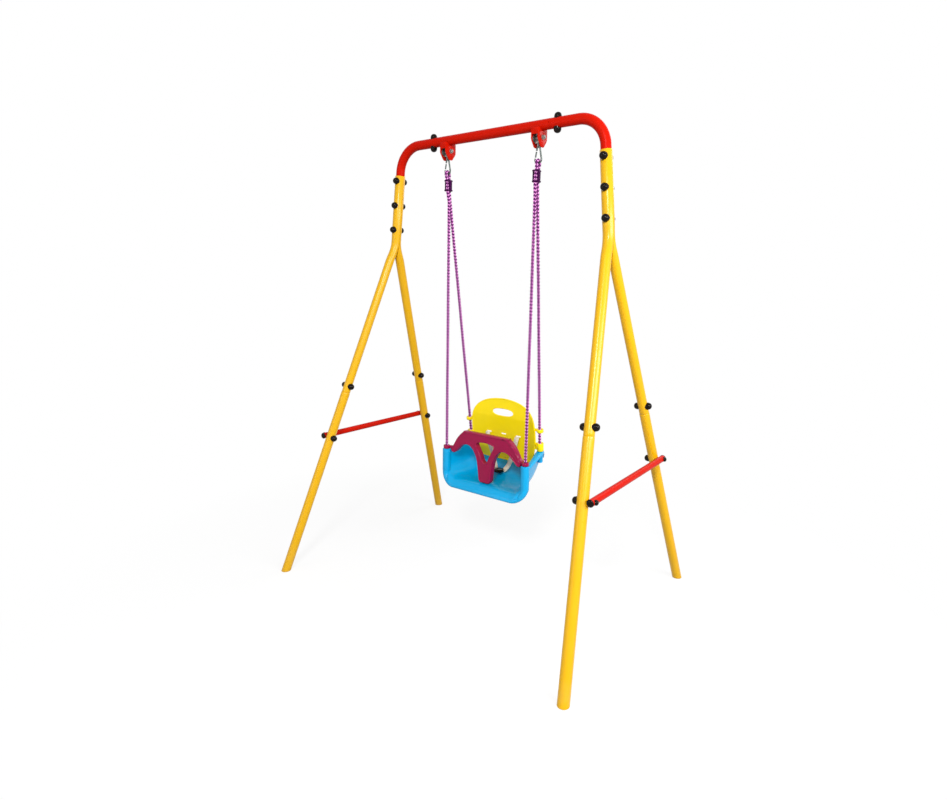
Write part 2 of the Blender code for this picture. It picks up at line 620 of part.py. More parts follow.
def make_eye(word, side, swing):
    """The steel clevis that turns on the pivot bolt: a bush and two arms that run down to a flat eye."""
    x = side * HANGER_X
    pivot = Vector((x, 0, PIVOT_HEIGHT))
    half = BRACKET_WIDTH / 2 - CHEEK_THICKNESS - 0.0006
    eye = rod("hanger_eye_" + word, pivot - half * X_AXIS, pivot + half * X_AXIS, BARREL_RADIUS, 10, PARTS, STEEL)
    tip = EYE_HEIGHT
    crown = PIVOT_HEIGHT + 0.0170
    arm_outline = [(-0.0070, crown), (-0.0155, PIVOT_HEIGHT + 0.0090), (-0.0250, PIVOT_HEIGHT - 0.0020),
                   (-0.0235, PIVOT_HEIGHT - 0.0100), (-0.0090, 1.6425), (0.0090, 1.6425),
                   (0.0235, PIVOT_HEIGHT - 0.0100), (0.0250, PIVOT_HEIGHT - 0.0020), (0.0155, PIVOT_HEIGHT + 0.0090),
                   (0.0070, crown)]
    pieces = []
    for number, sign in enumerate((-1, 1)):
        at = Matrix.Translation((x + sign * (half - 0.0012), 0, 0)) @ Matrix((Y_AXIS, Z_AXIS, X_AXIS)).transposed().to_4x4()
        pieces.append(plate(f"arm_{word}_{number}", arm_outline, 0.0024, at, collection=CUTTERS))
    across = Matrix.Translation((x, 0, 0)) @ Matrix((Y_AXIS, Z_AXIS, X_AXIS)).transposed().to_4x4()
    outline = [(-0.0065, 1.6445), *arc((0, tip), 0.0064, 180, 360, 5), (0.0065, 1.6445)]
    pieces.append(plate("tongue_" + word, outline, 0.0030, across, collection=CUTTERS))
    pieces.append(block("clevis_floor_" + word, (x, 0, 1.6440), (2 * half - 0.0004, 0.0180, 0.0030)))
    bore = rod("eye_bore_" + word, pivot - 0.02 * X_AXIS, pivot + 0.02 * X_AXIS, clear_of(BOLT_RADIUS, 12) + GAP, 12)
    wire_hole = rod("eye_hole_" + word, (x - 0.01, 0, tip), (x + 0.01, 0, tip), 0.0040, 10)
    join(eye, *pieces)
    cut(eye, bore, wire_hole)
    ride_on(eye, swing)


def hook_point(side, x, z):
    return Vector((side * HANGER_X + x, 0.0, z))


def gate_side(height):
    """Local X of the hook's gated side, which runs straight from the upper to the lower bend."""
    share = (HOOK_TOP_HEIGHT - height) / (HOOK_TOP_HEIGHT - HOOK_LOW_HEIGHT)
    return -(HOOK_TOP_BEND + (HOOK_LOW_BEND - HOOK_TOP_BEND) * share)


def make_hook(word, side, swing, gate_carrier):
    """A pear-shaped wire snap hook and its gate, in the plane of the bar."""
    hinge = (gate_side(GATE_HINGE_HEIGHT), GATE_HINGE_HEIGHT)
    nose = (gate_side(GATE_NOSE_HEIGHT - 0.0030), GATE_NOSE_HEIGHT - 0.0030)
    path = [(hinge[0], hinge[1] + 0.0035)]
    path += arc((0, HOOK_TOP_HEIGHT), HOOK_TOP_BEND, 180, 0, 5)
    path += arc((0, HOOK_LOW_HEIGHT), HOOK_LOW_BEND, 0, -180, 7)
    path += [nose]
    hook = swept("snap_hook_" + word, [hook_point(side, x, z) for x, z in path], WIRE_RADIUS, 2, PARTS, STEEL)
    ride_on(hook, swing)
    low = (gate_side(GATE_NOSE_HEIGHT), GATE_NOSE_HEIGHT)
    gate = rod("hook_gate_" + word, hook_point(side, *hinge) + Vector((0, 0, 0.0006)), hook_point(side, *low),
               WIRE_RADIUS * 0.85, 8, PARTS, STEEL)
    ride_on(gate, gate_carrier)


def rear_rope_point(side, height):
    top = Vector((ADJUSTER.x + STRAND_SHIFT, ROPE_SPREAD, STRAND_TOP))
    share = (top.z - height) / (top.z - REAR_ROPE_LOW.z)
    point = top.lerp(REAR_ROPE_LOW, share)
    return Vector((side * point.x, point.y, point.z))


def rope_route(side):
    """Centre line of a side's rope: up from the front post, crossed in the adjuster, over the hook, down to the rear."""
    front, rear = ADJUSTER.x - STRAND_SHIFT, ADJUSTER.x + STRAND_SHIFT
    throat, neck = ADJUSTER.z - 0.014, ADJUSTER.z + 0.014
    route = [(FRONT_ROPE_X, 0.0, POST_TOP - 0.052), (FRONT_ROPE_X, 0.0, 1.480), (FRONT_ROPE_X + 0.0010, -0.0030, 1.4960),
             (front, -ROPE_SPREAD, STRAND_TOP), (front, -ROPE_SPREAD, throat), (rear, -ROPE_SPREAD, neck),
             (HANGER_X - 0.001, -ROPE_SPREAD - 0.0006, neck + 0.0125)]
    bend = WIRE_RADIUS + ROPE_RADIUS + GAP
    hook_floor = HOOK_LOW_HEIGHT - HOOK_LOW_BEND
    for index in range(7):
        angle = math.pi * index / 6
        route.append((HANGER_X, -bend * math.cos(angle), hook_floor + bend * math.sin(angle)))
    route += [(HANGER_X - 0.001, ROPE_SPREAD + 0.0006, neck + 0.0125), (front, ROPE_SPREAD, neck),
              (rear, ROPE_SPREAD, throat)]
    route = [Vector((side * x, y, z)) for x, y, z in route]
    return route + [rear_rope_point(side, height) for height in (STRAND_TOP, 1.0, REAR_ROPE_LOW.z)]


def make_rope(word, side, swing):
    rope = swept("rope_" + word, rope_route(side), ROPE_RADIUS, 3, PARTS, ROPE)
    ride_on(rope, swing)


def make_adjuster(word, side, swing):
    """Two closed bands joined by side rails: both strands cross in the open middle."""
    centre = Vector((side * ADJUSTER.x, ADJUSTER.y, ADJUSTER.z))
    body = block("rope_adjuster_" + word, centre, ADJUSTER_SIZE, PARTS, ADJUSTER_PLASTIC, 0.0030)
    opening = ADJUSTER_SIZE.z - 2 * ADJUSTER_BAND
    window = block("window_" + word, centre, (0.0174, 0.06, opening))
    channel = block("throat_" + word, centre, (0.0166, 0.0238, 0.06))
    cut(body, window, channel)
    for end in (-1, 1):
        relief = block(f"relief_{word}_{end}", centre + Vector((0, end * 0.0200, 0)), (0.05, 0.024, opening))
        cut(body, relief)
    ride_on(body, swing)


def tub_rows():
    """Rows of the tub from its front lip to the back.

    Each is (y of the floor, y of the wall, height of the floor, inner half width, height of the rim, flange).
    """
    return [(-0.0310, 0.0000, 0.3590, 0.1855, 0.4900, 0.0160),
            (-0.0240, 0.0060, 0.3720, 0.1855, 0.4915, 0.0160),
            (-0.0080, 0.0140, 0.3835, 0.1850, 0.4935, 0.0165),
            (0.0150, 0.0260, FLOOR_HEIGHT, 0.1835, 0.4965, 0.0175),
            (0.0550, 0.0600, 0.3900, 0.1760, 0.5050, 0.0210),
            (0.1000, 0.1000, 0.3980, 0.1660, 0.5150, 0.0260),
            (0.1400, 0.1380, 0.4120, 0.1560, 0.5225, 0.0300),
            (0.1680, 0.1640, 0.4300, 0.1500, 0.5200, 0.0280),
            (0.1880, 0.1800, 0.4520, 0.1470, 0.4980, 0.0200)]


def tub_section(floor_y, wall_y, floor, half_width, rim, flange):
    """Right half of one row, from the middle of the floor to the lip of the arm rest's flange."""
    corner = min(RIM_CORNER, (rim - floor) * 0.75)
    lip = 0.0100
    flat = [(0.0, floor), (0.42 * half_width, floor), (half_width - corner, floor)]
    curved = [(x, z) for x, z in arc((half_width - corner, floor + corner), corner, -90, 0, 4)][1:]
    wall = [(half_width, 0.5 * (floor + corner + rim)), (half_width, rim - 0.003), (half_width + 0.003, rim)]
    edge = [(half_width + flange - 0.003, rim), (half_width + flange, rim - 0.003), (half_width + flange, rim - lip)]
    points = []
    for x, z in flat + curved + wall + edge:
        share = min(1.0, max(0.0, (z - floor) / corner))
        share = share * share * (3 - 2 * share)
        points.append(Vector((x, floor_y + (wall_y - floor_y) * share, z)))
    return points


def make_tub(swing):
    bm = bmesh.new()
    rows = [[bm.verts.new(point) for point in tub_section(*row)] for row in tub_rows()]
    for row, beyond in zip(rows, rows[1:]):
        for index in range(len(row) - 1):
            bm.faces.new((row[index], row[index + 1], beyond[index + 1], beyond[index]))
    mesh = bpy.data.meshes.new("seat_tub")
    bm.to_mesh(mesh)
    bm.free()
    mesh.shade_smooth()
    tub = add_object("seat_tub", mesh, PARTS, BLUE)
    mirror = tub.modifiers.new("halves", "MIRROR")
    mirror.merge_threshold = 0.0001
    wall = tub.modifiers.new("wall", "SOLIDIFY")
    wall.thickness = SEAT_WALL
    wall.offset = -1.0

    half = [(FRONT_ROPE_X, 0.0, POST_TOP, 0.90), (FRONT_ROPE_X, 0.0, POST_TOP - 0.002, 1.0),
            (FRONT_ROPE_X, 0.0, POST_TOP - 0.050, 1.0)]
    steps = 5
    for index in range(steps + 1):
        angle = 0.5 * math.pi * index / steps
        share = index / steps
        reach = FRONT_ROPE_X - RIM_CORNER
        half.append((reach + RIM_CORNER * math.cos(angle), -0.0290 * share,
                     RIM_BOTTOM + RIM_CORNER * (1 - math.sin(angle)),
                     1.0 + (BEAD_RADIUS / POST_RADIUS - 1.0) * share ** 0.7))
    route = half + [(-x, y, z, size) for x, y, z, size in reversed(half)]
    rim = swept("front_rim", [Vector(point[:3]) for point in route], POST_RADIUS, 3, CUTTERS,
                radii=[point[3] for point in route])
    join(tub, rim)
    for word, side in SIDES.items():
        top, low = rear_rope_point(side, 0.5235), rear_rope_point(side, 0.4780)
        boss = rod("rear_boss_" + word, top, low, 0.0130, 12, end_radius=0.0110)
        join(tub, boss)
    for word, side in SIDES.items():
        front_bore = rod("front_bore_" + word, (side * FRONT_ROPE_X, 0, POST_TOP + 0.01),
                         (side * FRONT_ROPE_X, 0, POST_TOP - 0.055), ROPE_HOLE, 10)
        rear_bore = rod("rear_bore_" + word, rear_rope_point(side, 0.54), rear_rope_point(side, 0.4850), ROPE_HOLE, 10)
        cut(tub, front_bore, rear_bore)
    ride_on(tub, swing)


def make_guard(carrier):
    """The T-shaped safety bar: a thick moulding with a window, threaded on the front ropes."""
    half = [(0.0920, 0.5880), (0.1080, 0.5840), (0.1210, 0.5750), (0.1370, 0.5580), (0.1500, 0.5380),
            (0.1600, 0.5200), (0.1690, 0.5110), (0.1700, 0.4950), (0.1600, 0.4880), (0.1480, 0.4930),
            (0.1310, 0.5100), (0.1160, 0.5240), (0.0985, 0.5320), (0.0790, 0.5315), (0.0630, 0.5220),
            (0.0490, 0.5020), (0.0390, 0.4780), (0.0335, 0.4440), (0.0280, 0.3950), (0.0245, 0.3897)]
    window = [(0.0, 0.5550), (0.0310, 0.5515), (0.0430, 0.5430), (0.0345, 0.5260), (0.0215, 0.5020), (0.0125, 0.4800),
              (0.0, 0.4705)]
    upright = Matrix.Translation((0, GUARD_PLANE, 0)) @ Matrix((X_AXIS, Z_AXIS, -Y_AXIS)).transposed().to_4x4()
    guard = plate("guard_bar", mirrored(half), GUARD_DEPTH, upright, [mirrored(window)], 0.0035, material=MAGENTA)
    for word, side in SIDES.items():
        ring_at = Vector((side * FRONT_ROPE_X, 0.0, 0.0))
        ring = rod("guard_ring_" + word, ring_at + 0.5018 * Z_AXIS, ring_at + 0.5150 * Z_AXIS, 0.0135, 16)
        arm = block("guard_arm_" + word, (side * 0.1730, 0.0085, 0.5084), (0.0240, 0.0130, 0.0110))
        bore = rod("guard_bore_" + word, ring_at + 0.49 * Z_AXIS, ring_at + 0.53 * Z_AXIS, ROPE_HOLE, 12)
        join(guard, ring, arm)
        cut(guard, bore)
    ride_on(guard, carrier)


def back_surface(x, z):
    """The front face of the backrest: along the rear ropes below, upright at the top, sides drawn forward."""
    lean = rear_rope_point(1, min(z, 0.640)).y - 0.0030
    return lean - 0.006 * (x / 0.153) ** 2


def make_backrest(carrier):
    bm = bmesh.new()
    columns, rows = 8, 6
    grid = []
    for row in range(rows + 1):
        z = 0.440 + 0.290 * row / rows
        grid.append([])
        for column in range(columns + 1):
            x = -0.170 + 0.340 * column / columns
            grid[row].append(bm.verts.new((x, back_surface(x, z), z)))
    for row in range(rows):
        for column in range(columns):
            bm.faces.new((grid[row][column], grid[row][column + 1], grid[row + 1][column + 1], grid[row + 1][column]))
    mesh = bpy.data.meshes.new("backrest")
    bm.to_mesh(mesh)
    bm.free()
    mesh.shade_smooth()
    back = add_object("backrest", mesh, PARTS, SEAT_YELLOW)
    wall = back.modifiers.new("wall", "SOLIDIFY")
    wall.thickness = BACK_THICKNESS
    wall.offset = -1.0

    half = [(0.0, 0.7145), (0.0400, 0.7115), (0.0780, 0.7035), (0.1080, 0.6900), (0.1300, 0.6720), (0.1440, 0.6490),
            (0.1505, 0.6240), (0.1530, 0.5900), (0.1530, 0.5580), (0.1480, 0.5300), (0.1380, 0.4900), (0.1200, 0.4680),
            (0.0900, 0.4590), (0.0, 0.4570)]
    handle = arc((0.0355, 0.6600), 0.0170, 90, -90, 6) + arc((-0.0355, 0.6600), 0.0170, 270, 90, 6)
    slots = []
    for centre in (-0.072, 0.0, 0.072):
        slots.append([(centre - 0.012, 0.5720), (centre + 0.012, 0.5720), (centre + 0.012, 0.5660),
                      (centre - 0.012, 0.5660)])
    upright = Matrix.Translation((0, 0.14, 0)) @ Matrix((X_AXIS, Z_AXIS, -Y_AXIS)).transposed().to_4x4()
    outline = plate("back_outline", mirrored(half), 0.12, upright, [handle, *slots], collection=CUTTERS)
    combine(back, outline, "INTERSECT")
    for word, side in SIDES.items():
        for place, low, high, reach in (("ear", 0.6040, 0.6170, 0.036), ("wing", 0.5262, 0.5590, 0.040)):
            foot, head = rear_rope_point(side, low), rear_rope_point(side, high)
            sleeve = rod(f"{place}_{word}", foot + side * 0.0020 * X_AXIS, head + side * 0.0020 * X_AXIS, 0.0135, 14)
            middle = 0.5 * (foot + head)
            arm = block(f"{place}_arm_{word}", (middle.x - side * 0.5 * reach, middle.y + 0.001, middle.z),
                        (reach, 0.0075, 0.85 * (high - low)))
            join(back, sleeve, arm)
    for word, side in SIDES.items():
        foot, head = rear_rope_point(side, 0.500), rear_rope_point(side, 0.640)
        shift = side * 0.0022 * X_AXIS
        bore = rod(f"back_bore_{word}", foot + shift, head + shift, ROPE_HOLE, 12, squash=(1.32, 1.0))
        cut(back, bore)
    ride_on(back, carrier)


def strap(name, path, width_direction, width, carrier):
    """A flat belt through points, as a thin closed strip."""
    rings = []
    for index, point in enumerate(path):
        before, after = path[max(index - 1, 0)], path[min(index + 1, len(path) - 1)]
        along = (after - before).normalized()
        wide = (width_direction - width_direction.dot(along) * along).normalized() * (width / 2)
        thick = along.cross(wide).normalized() * 0.0009
        rings.append([point - wide - thick, point + wide - thick, point + wide + thick, point - wide + thick])
    item = loft(name, rings, PARTS, WEBBING)
    ride_on(item, carrier)


def make_harness(carrier):
    """Webbing from the backrest's slots down to a buckle that lies on the seat."""
    for word, side in SIDES.items():
        path = [(0.072, 0.1270, 0.5690), (0.072, 0.1230, 0.5660), (0.069, 0.1205, 0.5500), (0.060, 0.1230, 0.5150),
                (0.046, 0.1270, 0.4750), (0.034, 0.1240, 0.4420), (0.022, 0.1150, 0.4230), (0.019, 0.1130, 0.4215)]
        strap("harness_strap_" + word, [Vector((side * x, y, z)) for x, y, z in path], X_AXIS, 0.020, carrier)
    buckle = block("harness_buckle", (0.0, 0.1080, 0.4175), (0.034, 0.040, 0.0120), PARTS, BLACK, 0.003)
    ride_on(buckle, carrier)


def main():
    frame = empty_at("frame", (0, 0, 0))
    swing = empty_at("swing", (0, 0, PIVOT_HEIGHT))
    guard = empty_at("guard", (0, GUARD_PLANE, POST_TOP), swing)
    back = empty_at("back", (0, REAR_ROPE_LOW.y, 0.54), swing)
    make_top_bar(frame)
    make_legs(frame)
    make_crossbars(frame)
    make_brackets(frame)
    for word, side in SIDES.items():
        hinge_x = side * HANGER_X + gate_side(GATE_HINGE_HEIGHT)
        gate = empty_at("gate_" + word, (hinge_x, 0, GATE_HINGE_HEIGHT), swing)
        make_eye(word, side, swing)
        make_hook(word, side, swing, gate)
        make_rope(word, side, swing)
        make_adjuster(word, side, swing)
    make_tub(swing)
    make_guard(guard)
    make_backrest(back)
    make_harness(back)


main()
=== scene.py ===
"""Garden swing for a toddler: a bolted tube frame, snap hooks, braided ropes and a moulded seat."""
import math

import bmesh
import bpy
from bpy.props import FloatProperty, FloatVectorProperty, IntProperty, PointerProperty
from bpy.types import Operator, Panel, PropertyGroup
from mathutils import Matrix, Vector


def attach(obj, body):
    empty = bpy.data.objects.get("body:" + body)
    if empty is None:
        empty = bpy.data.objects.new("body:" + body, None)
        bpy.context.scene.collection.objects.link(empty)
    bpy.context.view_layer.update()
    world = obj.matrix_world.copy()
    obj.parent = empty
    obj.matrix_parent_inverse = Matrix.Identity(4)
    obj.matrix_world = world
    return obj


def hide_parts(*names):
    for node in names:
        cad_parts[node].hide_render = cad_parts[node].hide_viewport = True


bl_info = {
    "name": "Garden Toddler Swing",
    "version": (1, 0, 0),
    "blender": (4, 5, 0),
    "location": "View3D > Sidebar > Swing",
    "description": "Builds a tube frame swing with a moulded toddler seat on two braided ropes",
    "category": "Add Mesh",
}

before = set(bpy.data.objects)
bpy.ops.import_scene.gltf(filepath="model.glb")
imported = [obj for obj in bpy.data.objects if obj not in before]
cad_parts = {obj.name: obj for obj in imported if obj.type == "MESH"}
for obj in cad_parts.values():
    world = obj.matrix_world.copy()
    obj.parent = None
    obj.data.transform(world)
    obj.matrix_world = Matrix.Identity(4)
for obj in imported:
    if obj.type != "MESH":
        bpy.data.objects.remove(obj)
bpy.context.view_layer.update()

X_AXIS, Y_AXIS, Z_AXIS = Vector((1, 0, 0)), Vector((0, 1, 0)), Vector((0, 0, 1))
SIDES = {"left": -1, "right": 1}
ENDS = {"front": -1, "rear": 1}

# Frame: places and sizes in metres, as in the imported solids
BAR_HEIGHT = 1.700
CORNER_HALF = 0.438
POST_LEAN = math.radians(5.8)
BEND_RADIUS = 0.100
POST_END_HEIGHT = 1.352
BAR_SEAM = 0.245
BAR_BOLT = 0.270
CLAMP_TOP = 1.595
CLAMP_SEAM = 0.0007
CLAMP_BOLTS = (1.5746, 1.480, 1.385)
KNEE = Vector((0.482, 0.026, 1.270))
FOOT = Vector((0.644, 0.485, 0.0))
LEG_SEAM_HEIGHT = 0.722
LEG_BOLT_HEIGHT = 0.7485
PLUG_FLANGE = 0.0030
CROSSBAR_HEIGHT = 0.539
CROSSBAR_OFFSET = 0.0307
CROSSBAR_OVERHANG = 0.013
BAR_PLUG_DOME, BAR_PLUG_STEM = 0.0065, 0.0093
CROSSBAR_CAP_WIDTH, CROSSBAR_CAP_HEIGHT = 0.677, 0.516

# Hangers and ropes
HANGER_X = 0.200
HOOK_TOP_BEND, HOOK_TOP_HEIGHT = 0.0050, 1.6306
HOOK_LOW_BEND, HOOK_LOW_HEIGHT = 0.0125, 1.5920
GATE_HINGE_HEIGHT = 1.6170
GATE_NOSE_HEIGHT = 1.5990
WIRE_RADIUS = 0.0030
FRONT_ROPE_X = 0.192
ADJUSTER = Vector((0.1955, 0.0, 1.538))
ROPE_SPREAD = 0.0060
STRAND_TOP = 1.5160
STRAND_SHIFT = 0.0010
REAR_ROPE_LOW = Vector((0.1688, 0.1470, 0.4880))
ROPE_END_DEPTH = 0.052
RIVET_RADIUS, RIVET_REACH = 0.0013, 0.0026
STRAND_SHARE, CORE_SHARE = 0.50, 0.70
BUMP_REACH, BUMP_SPACING = 0.0101, 0.0125
BUMP_SIZE = (0.0027, 0.0062, 0.0056)

# Seat
POST_TOP = 0.500
POST_RADIUS = 0.0170
BEAD_RADIUS = 0.0075
RIM_BOTTOM = 0.3570
RIM_CORNER = 0.0500
GUARD_PLANE = 0.0150
GUARD_DEPTH = 0.0260
FLOOR_HEIGHT = 0.3875
BEAD_REACH, BEAD_DROP = 0.0246, 0.0012
ROPE_BORE = 0.0070
BOSS_LOW, BOSS_HIGH, BOSS_RADIUS = 0.4780, 0.5235, 0.0130
SLIDE_RADIUS = 0.0135
RING_LOW, RING_HIGH, RING_BORE = 0.5018, 0.5150, 0.0074
GUARD_ARM_SIZE = (0.0240, 0.0130, 0.0110)
SLEEVE_BORE, SLEEVE_SHIFT = 0.0088, 0.0020
BACK_LOW, BACK_TALL, BACK_HALF = 0.440, 0.290, 0.170
BACK_BOW, BACK_BOW_HALF = 0.006, 0.153
HANDLE_HEIGHT, HANDLE_HALF_WIDTH, HANDLE_HALF_HEIGHT = 0.660, 0.0525, 0.0172
DISH_HEIGHT, DISH_RADIUS, DISH_DEPTH = 0.500, 0.046, 0.0012
STRAP_X, SLOT_HEIGHT = 0.072, 0.569
SLOT_HALF_WIDTH, SLOT_HALF_HEIGHT = 0.012, 0.003
BUCKLE_CENTRE, BUCKLE_SIZE = (0.0, 0.1080, 0.4175), (0.034, 0.040, 0.0118)

# Camera and lamps, each lamp with its name, place, width, height and power
CAMERA_PLACE = Vector((1.3175, -1.8337, 1.1705))
CAMERA_YAW, CAMERA_PITCH, CAMERA_ROLL = math.radians(36.871), math.radians(11.075), math.radians(1.019)
CAMERA_LENS, CAMERA_SENSOR = 22.477, 36.0
LAMP_TARGET = Vector((0.0, 0.0, 0.8))
LAMPS = (("key", (1.6, -3.1, 2.9), 0.6, 0.6, 96.0), ("side", (3.0, -0.5, 1.9), 2.6, 0.45, 92.0),
         ("fill", (-1.2, -3.2, 1.2), 1.6, 1.6, 15.0), ("back", (0.8, 3.2, 3.2), 2.2, 2.2, 36.0))
SOFT_LIGHT = 0.33
FLOOR_REACH = 14.0


# Properties

def size(name, description, default, least, most):
    """A length that a user can set."""
    return FloatProperty(name=name, description=description, default=default, min=least, max=most,
                         unit="LENGTH", subtype="DISTANCE", precision=4)


def colour(name, description, default):
    """A colour that a user can set."""
    return FloatVectorProperty(name=name, description=description, default=default, min=0.0, max=1.0,
                               size=3, subtype="COLOR")


class SwingSizes(PropertyGroup):
    """Sizes that a user of the swing would change."""
    bar_radius: size("Bar radius", "Radius of the red top tube", 0.0175, 0.012, 0.025)
    clamp_radius: size("Clamp radius", "Radius of the half shells that clamp a post", 0.0200, 0.015, 0.03)
    upper_leg_radius: size("Upper leg radius", "Radius of the upper leg tubes", 0.0175, 0.012, 0.025)
    lower_leg_radius: size("Lower leg radius", "Radius of the lower leg tubes", 0.01825, 0.012, 0.025)
    crossbar_radius: size("Cross bar radius", "Radius of the red cross bars", 0.0117, 0.006, 0.016)
    cap_radius: size("Cap radius", "Radius of the domed bolt caps", 0.0130, 0.006, 0.016)
    cap_height: size("Cap height", "Height of a cap above its tube", 0.0155, 0.006, 0.018)
    rope_radius: size("Rope radius", "Outer radius of the braided ropes", 0.0067, 0.003, 0.009)
    braid_pitch: size("Braid pitch", "Length over which a strand turns once round its rope", 0.036, 0.02, 0.1)
    braid_strands: IntProperty(name="Braid strands", description="Strands of the rope that turn each way",
                               default=3, min=3, max=10)
    seat_wall: size("Seat wall", "Wall thickness of the tub", 0.0045, 0.002, 0.008)
    back_thickness: size("Backrest thickness", "Thickness of the backrest's sheet", 0.0050, 0.003, 0.01)
    strap_width: size("Strap width", "Width of the harness webbing", 0.020, 0.01, 0.03)


class SwingColours(PropertyGroup):
    """Colours of the swing's finishes."""
    tube_red: colour("Tube red", "Powder coat of the top bar and cross bars", (0.53, 0.008, 0.001))
    leg_yellow: colour("Leg yellow", "Powder coat of the legs", (0.74, 0.40, 0.001))
    cap_black: colour("Cap black", "Bolt caps, end plugs and buckle", (0.006, 0.003, 0.002))
    steel_grey: colour("Steel grey", "Steel clevises and pivot bolts", (0.30, 0.29, 0.27))
    hook_steel: colour("Hook steel", "Snap hooks and their gates", (0.10, 0.12, 0.11))
    rope_light: colour("Rope light", "Strands of the ropes that wind one way", (0.92, 0.36, 0.80))
    rope_dark: colour("Rope dark", "Strands that wind the other way, and the core", (0.12, 0.002, 0.12))
    adjuster_purple: colour("Adjuster purple", "Rope adjusters", (0.045, 0.000, 0.050))
    tub_blue: colour("Tub blue", "Seat tub", (0.0, 0.37, 0.72))
    back_yellow: colour("Backrest yellow", "Backrest", (1.0, 0.77, 0.0))
    guard_magenta: colour("Guard magenta", "Guard bar", (0.32, 0.001, 0.054))
    webbing_cream: colour("Webbing cream", "Harness straps", (0.84, 0.78, 0.62))


def sizes():
    return bpy.context.scene.swing_sizes


def colours():
    return bpy.context.scene.swing_colours


# Materials

def new_group(name, inputs, outputs):
    """A shader node group with named sockets; returns the tree and its two end nodes."""
    tree = bpy.data.node_groups.new(name, "ShaderNodeTree")
    for word, kind, default in inputs:
        socket = tree.interface.new_socket(word, in_out="INPUT", socket_type="NodeSocket" + kind)
        if default is not None:
            socket.default_value = default
    for word, kind in outputs:
        tree.interface.new_socket(word, in_out="OUTPUT", socket_type="NodeSocket" + kind)
    return tree, tree.nodes.new("NodeGroupInput"), tree.nodes.new("NodeGroupOutput")


def add_node(tree, kind, inputs=None, **settings):
    """Add a node; an input is given as a value or as the socket that feeds it."""
    node = tree.nodes.new(kind)
    for key, value in settings.items():
        setattr(node, key, value)
    for key, value in (inputs or {}).items():
        if isinstance(value, bpy.types.NodeSocket):
            tree.links.new(value, node.inputs[key])
        else:
            node.inputs[key].default_value = value
    return node


def mix_colour(tree, factor, first, second):
    """The colour output of a Mix node."""
    node = tree.nodes.new("ShaderNodeMix")
    node.data_type = "RGBA"
    for socket, value in ((node.inputs[0], factor), (node.inputs[6], first), (node.inputs[7], second)):
        if isinstance(value, bpy.types.NodeSocket):
            tree.links.new(value, socket)
        else:
            socket.default_value = value
    return node.outputs[2]


def moulded_skin_group():
    """Faint mottling of the colour, uneven gloss and a fine grain, for paint, plastics and steel."""
    tree, given, made = new_group(
        "Moulded skin",
        [("Vector", "Vector", None), ("Colour", "Color", (0.5, 0.5, 0.5, 1)), ("Mottle", "Float", 0.12),
         ("Mottle Scale", "Float", 30.0), ("Gloss", "Float", 0.3), ("Gloss Spread", "Float", 0.1),
         ("Grain Scale", "Float", 900.0), ("Grain Depth", "Float", 0.00004)],
        [("Colour", "Color"), ("Roughness", "Float"), ("Normal", "Vector")])
    mottle = add_node(tree, "ShaderNodeTexNoise", {"Vector": given.outputs["Vector"],
                                                   "Scale": given.outputs["Mottle Scale"], "Detail": 3.0})
    shade = add_node(tree, "ShaderNodeMapRange", {0: mottle.outputs["Fac"], 1: 0.3, 2: 0.7, 3: 0.0, 4: 1.0})
    amount = add_node(tree, "ShaderNodeMath", {0: shade.outputs[0], 1: given.outputs["Mottle"]},
                      operation="MULTIPLY")
    tree.links.new(mix_colour(tree, amount.outputs[0], given.outputs["Colour"], (0.0, 0.0, 0.0, 1.0)),
                   made.inputs["Colour"])
    spread = add_node(tree, "ShaderNodeMath", {0: shade.outputs[0], 1: given.outputs["Gloss Spread"],
                                               2: given.outputs["Gloss"]}, operation="MULTIPLY_ADD")
    tree.links.new(spread.outputs[0], made.inputs["Roughness"])
    grain = add_node(tree, "ShaderNodeTexNoise", {"Vector": given.outputs["Vector"],
                                                  "Scale": given.outputs["Grain Scale"], "Detail": 2.0})
    bump = add_node(tree, "ShaderNodeBump", {"Height": grain.outputs["Fac"],
                                             "Distance": given.outputs["Grain Depth"], "Strength": 1.0})
    tree.links.new(bump.outputs[0], made.inputs["Normal"])
    return tree


def yard_dust_group():
    """Pale dust in cloudy patches, thicker near the ground."""
    tree, given, made = new_group(
        "Yard dust",
        [("Vector", "Vector", None), ("Colour", "Color", (0.5, 0.5, 0.5, 1)), ("Roughness", "Float", 0.3),
         ("Amount", "Float", 0.2), ("Dust", "Color", (0.55, 0.48, 0.38, 1))],
        [("Colour", "Color"), ("Roughness", "Float")])
    cloud = add_node(tree, "ShaderNodeTexNoise",
                     {"Vector": given.outputs["Vector"], "Scale": 14.0, "Detail": 6.0})
    patch = add_node(tree, "ShaderNodeMapRange", {0: cloud.outputs["Fac"], 1: 0.42, 2: 0.75, 3: 0.0, 4: 1.0})
    height = add_node(tree, "ShaderNodeSeparateXYZ", {0: given.outputs["Vector"]})
    low = add_node(tree, "ShaderNodeMapRange", {0: height.outputs["Z"], 1: 0.0, 2: 0.16, 3: 1.0, 4: 0.12})
    where = add_node(tree, "ShaderNodeMath", {0: patch.outputs[0], 1: low.outputs[0]}, operation="MULTIPLY")
    amount = add_node(tree, "ShaderNodeMath", {0: where.outputs[0], 1: given.outputs["Amount"]},
                      operation="MULTIPLY")
    tree.links.new(mix_colour(tree, amount.outputs[0], given.outputs["Colour"], given.outputs["Dust"]),
                   made.inputs["Colour"])
    rough = add_node(tree, "ShaderNodeMath", {0: amount.outputs[0], 1: 0.5, 2: given.outputs["Roughness"]},
                     operation="MULTIPLY_ADD")
    tree.links.new(rough.outputs[0], made.inputs["Roughness"])
    return tree


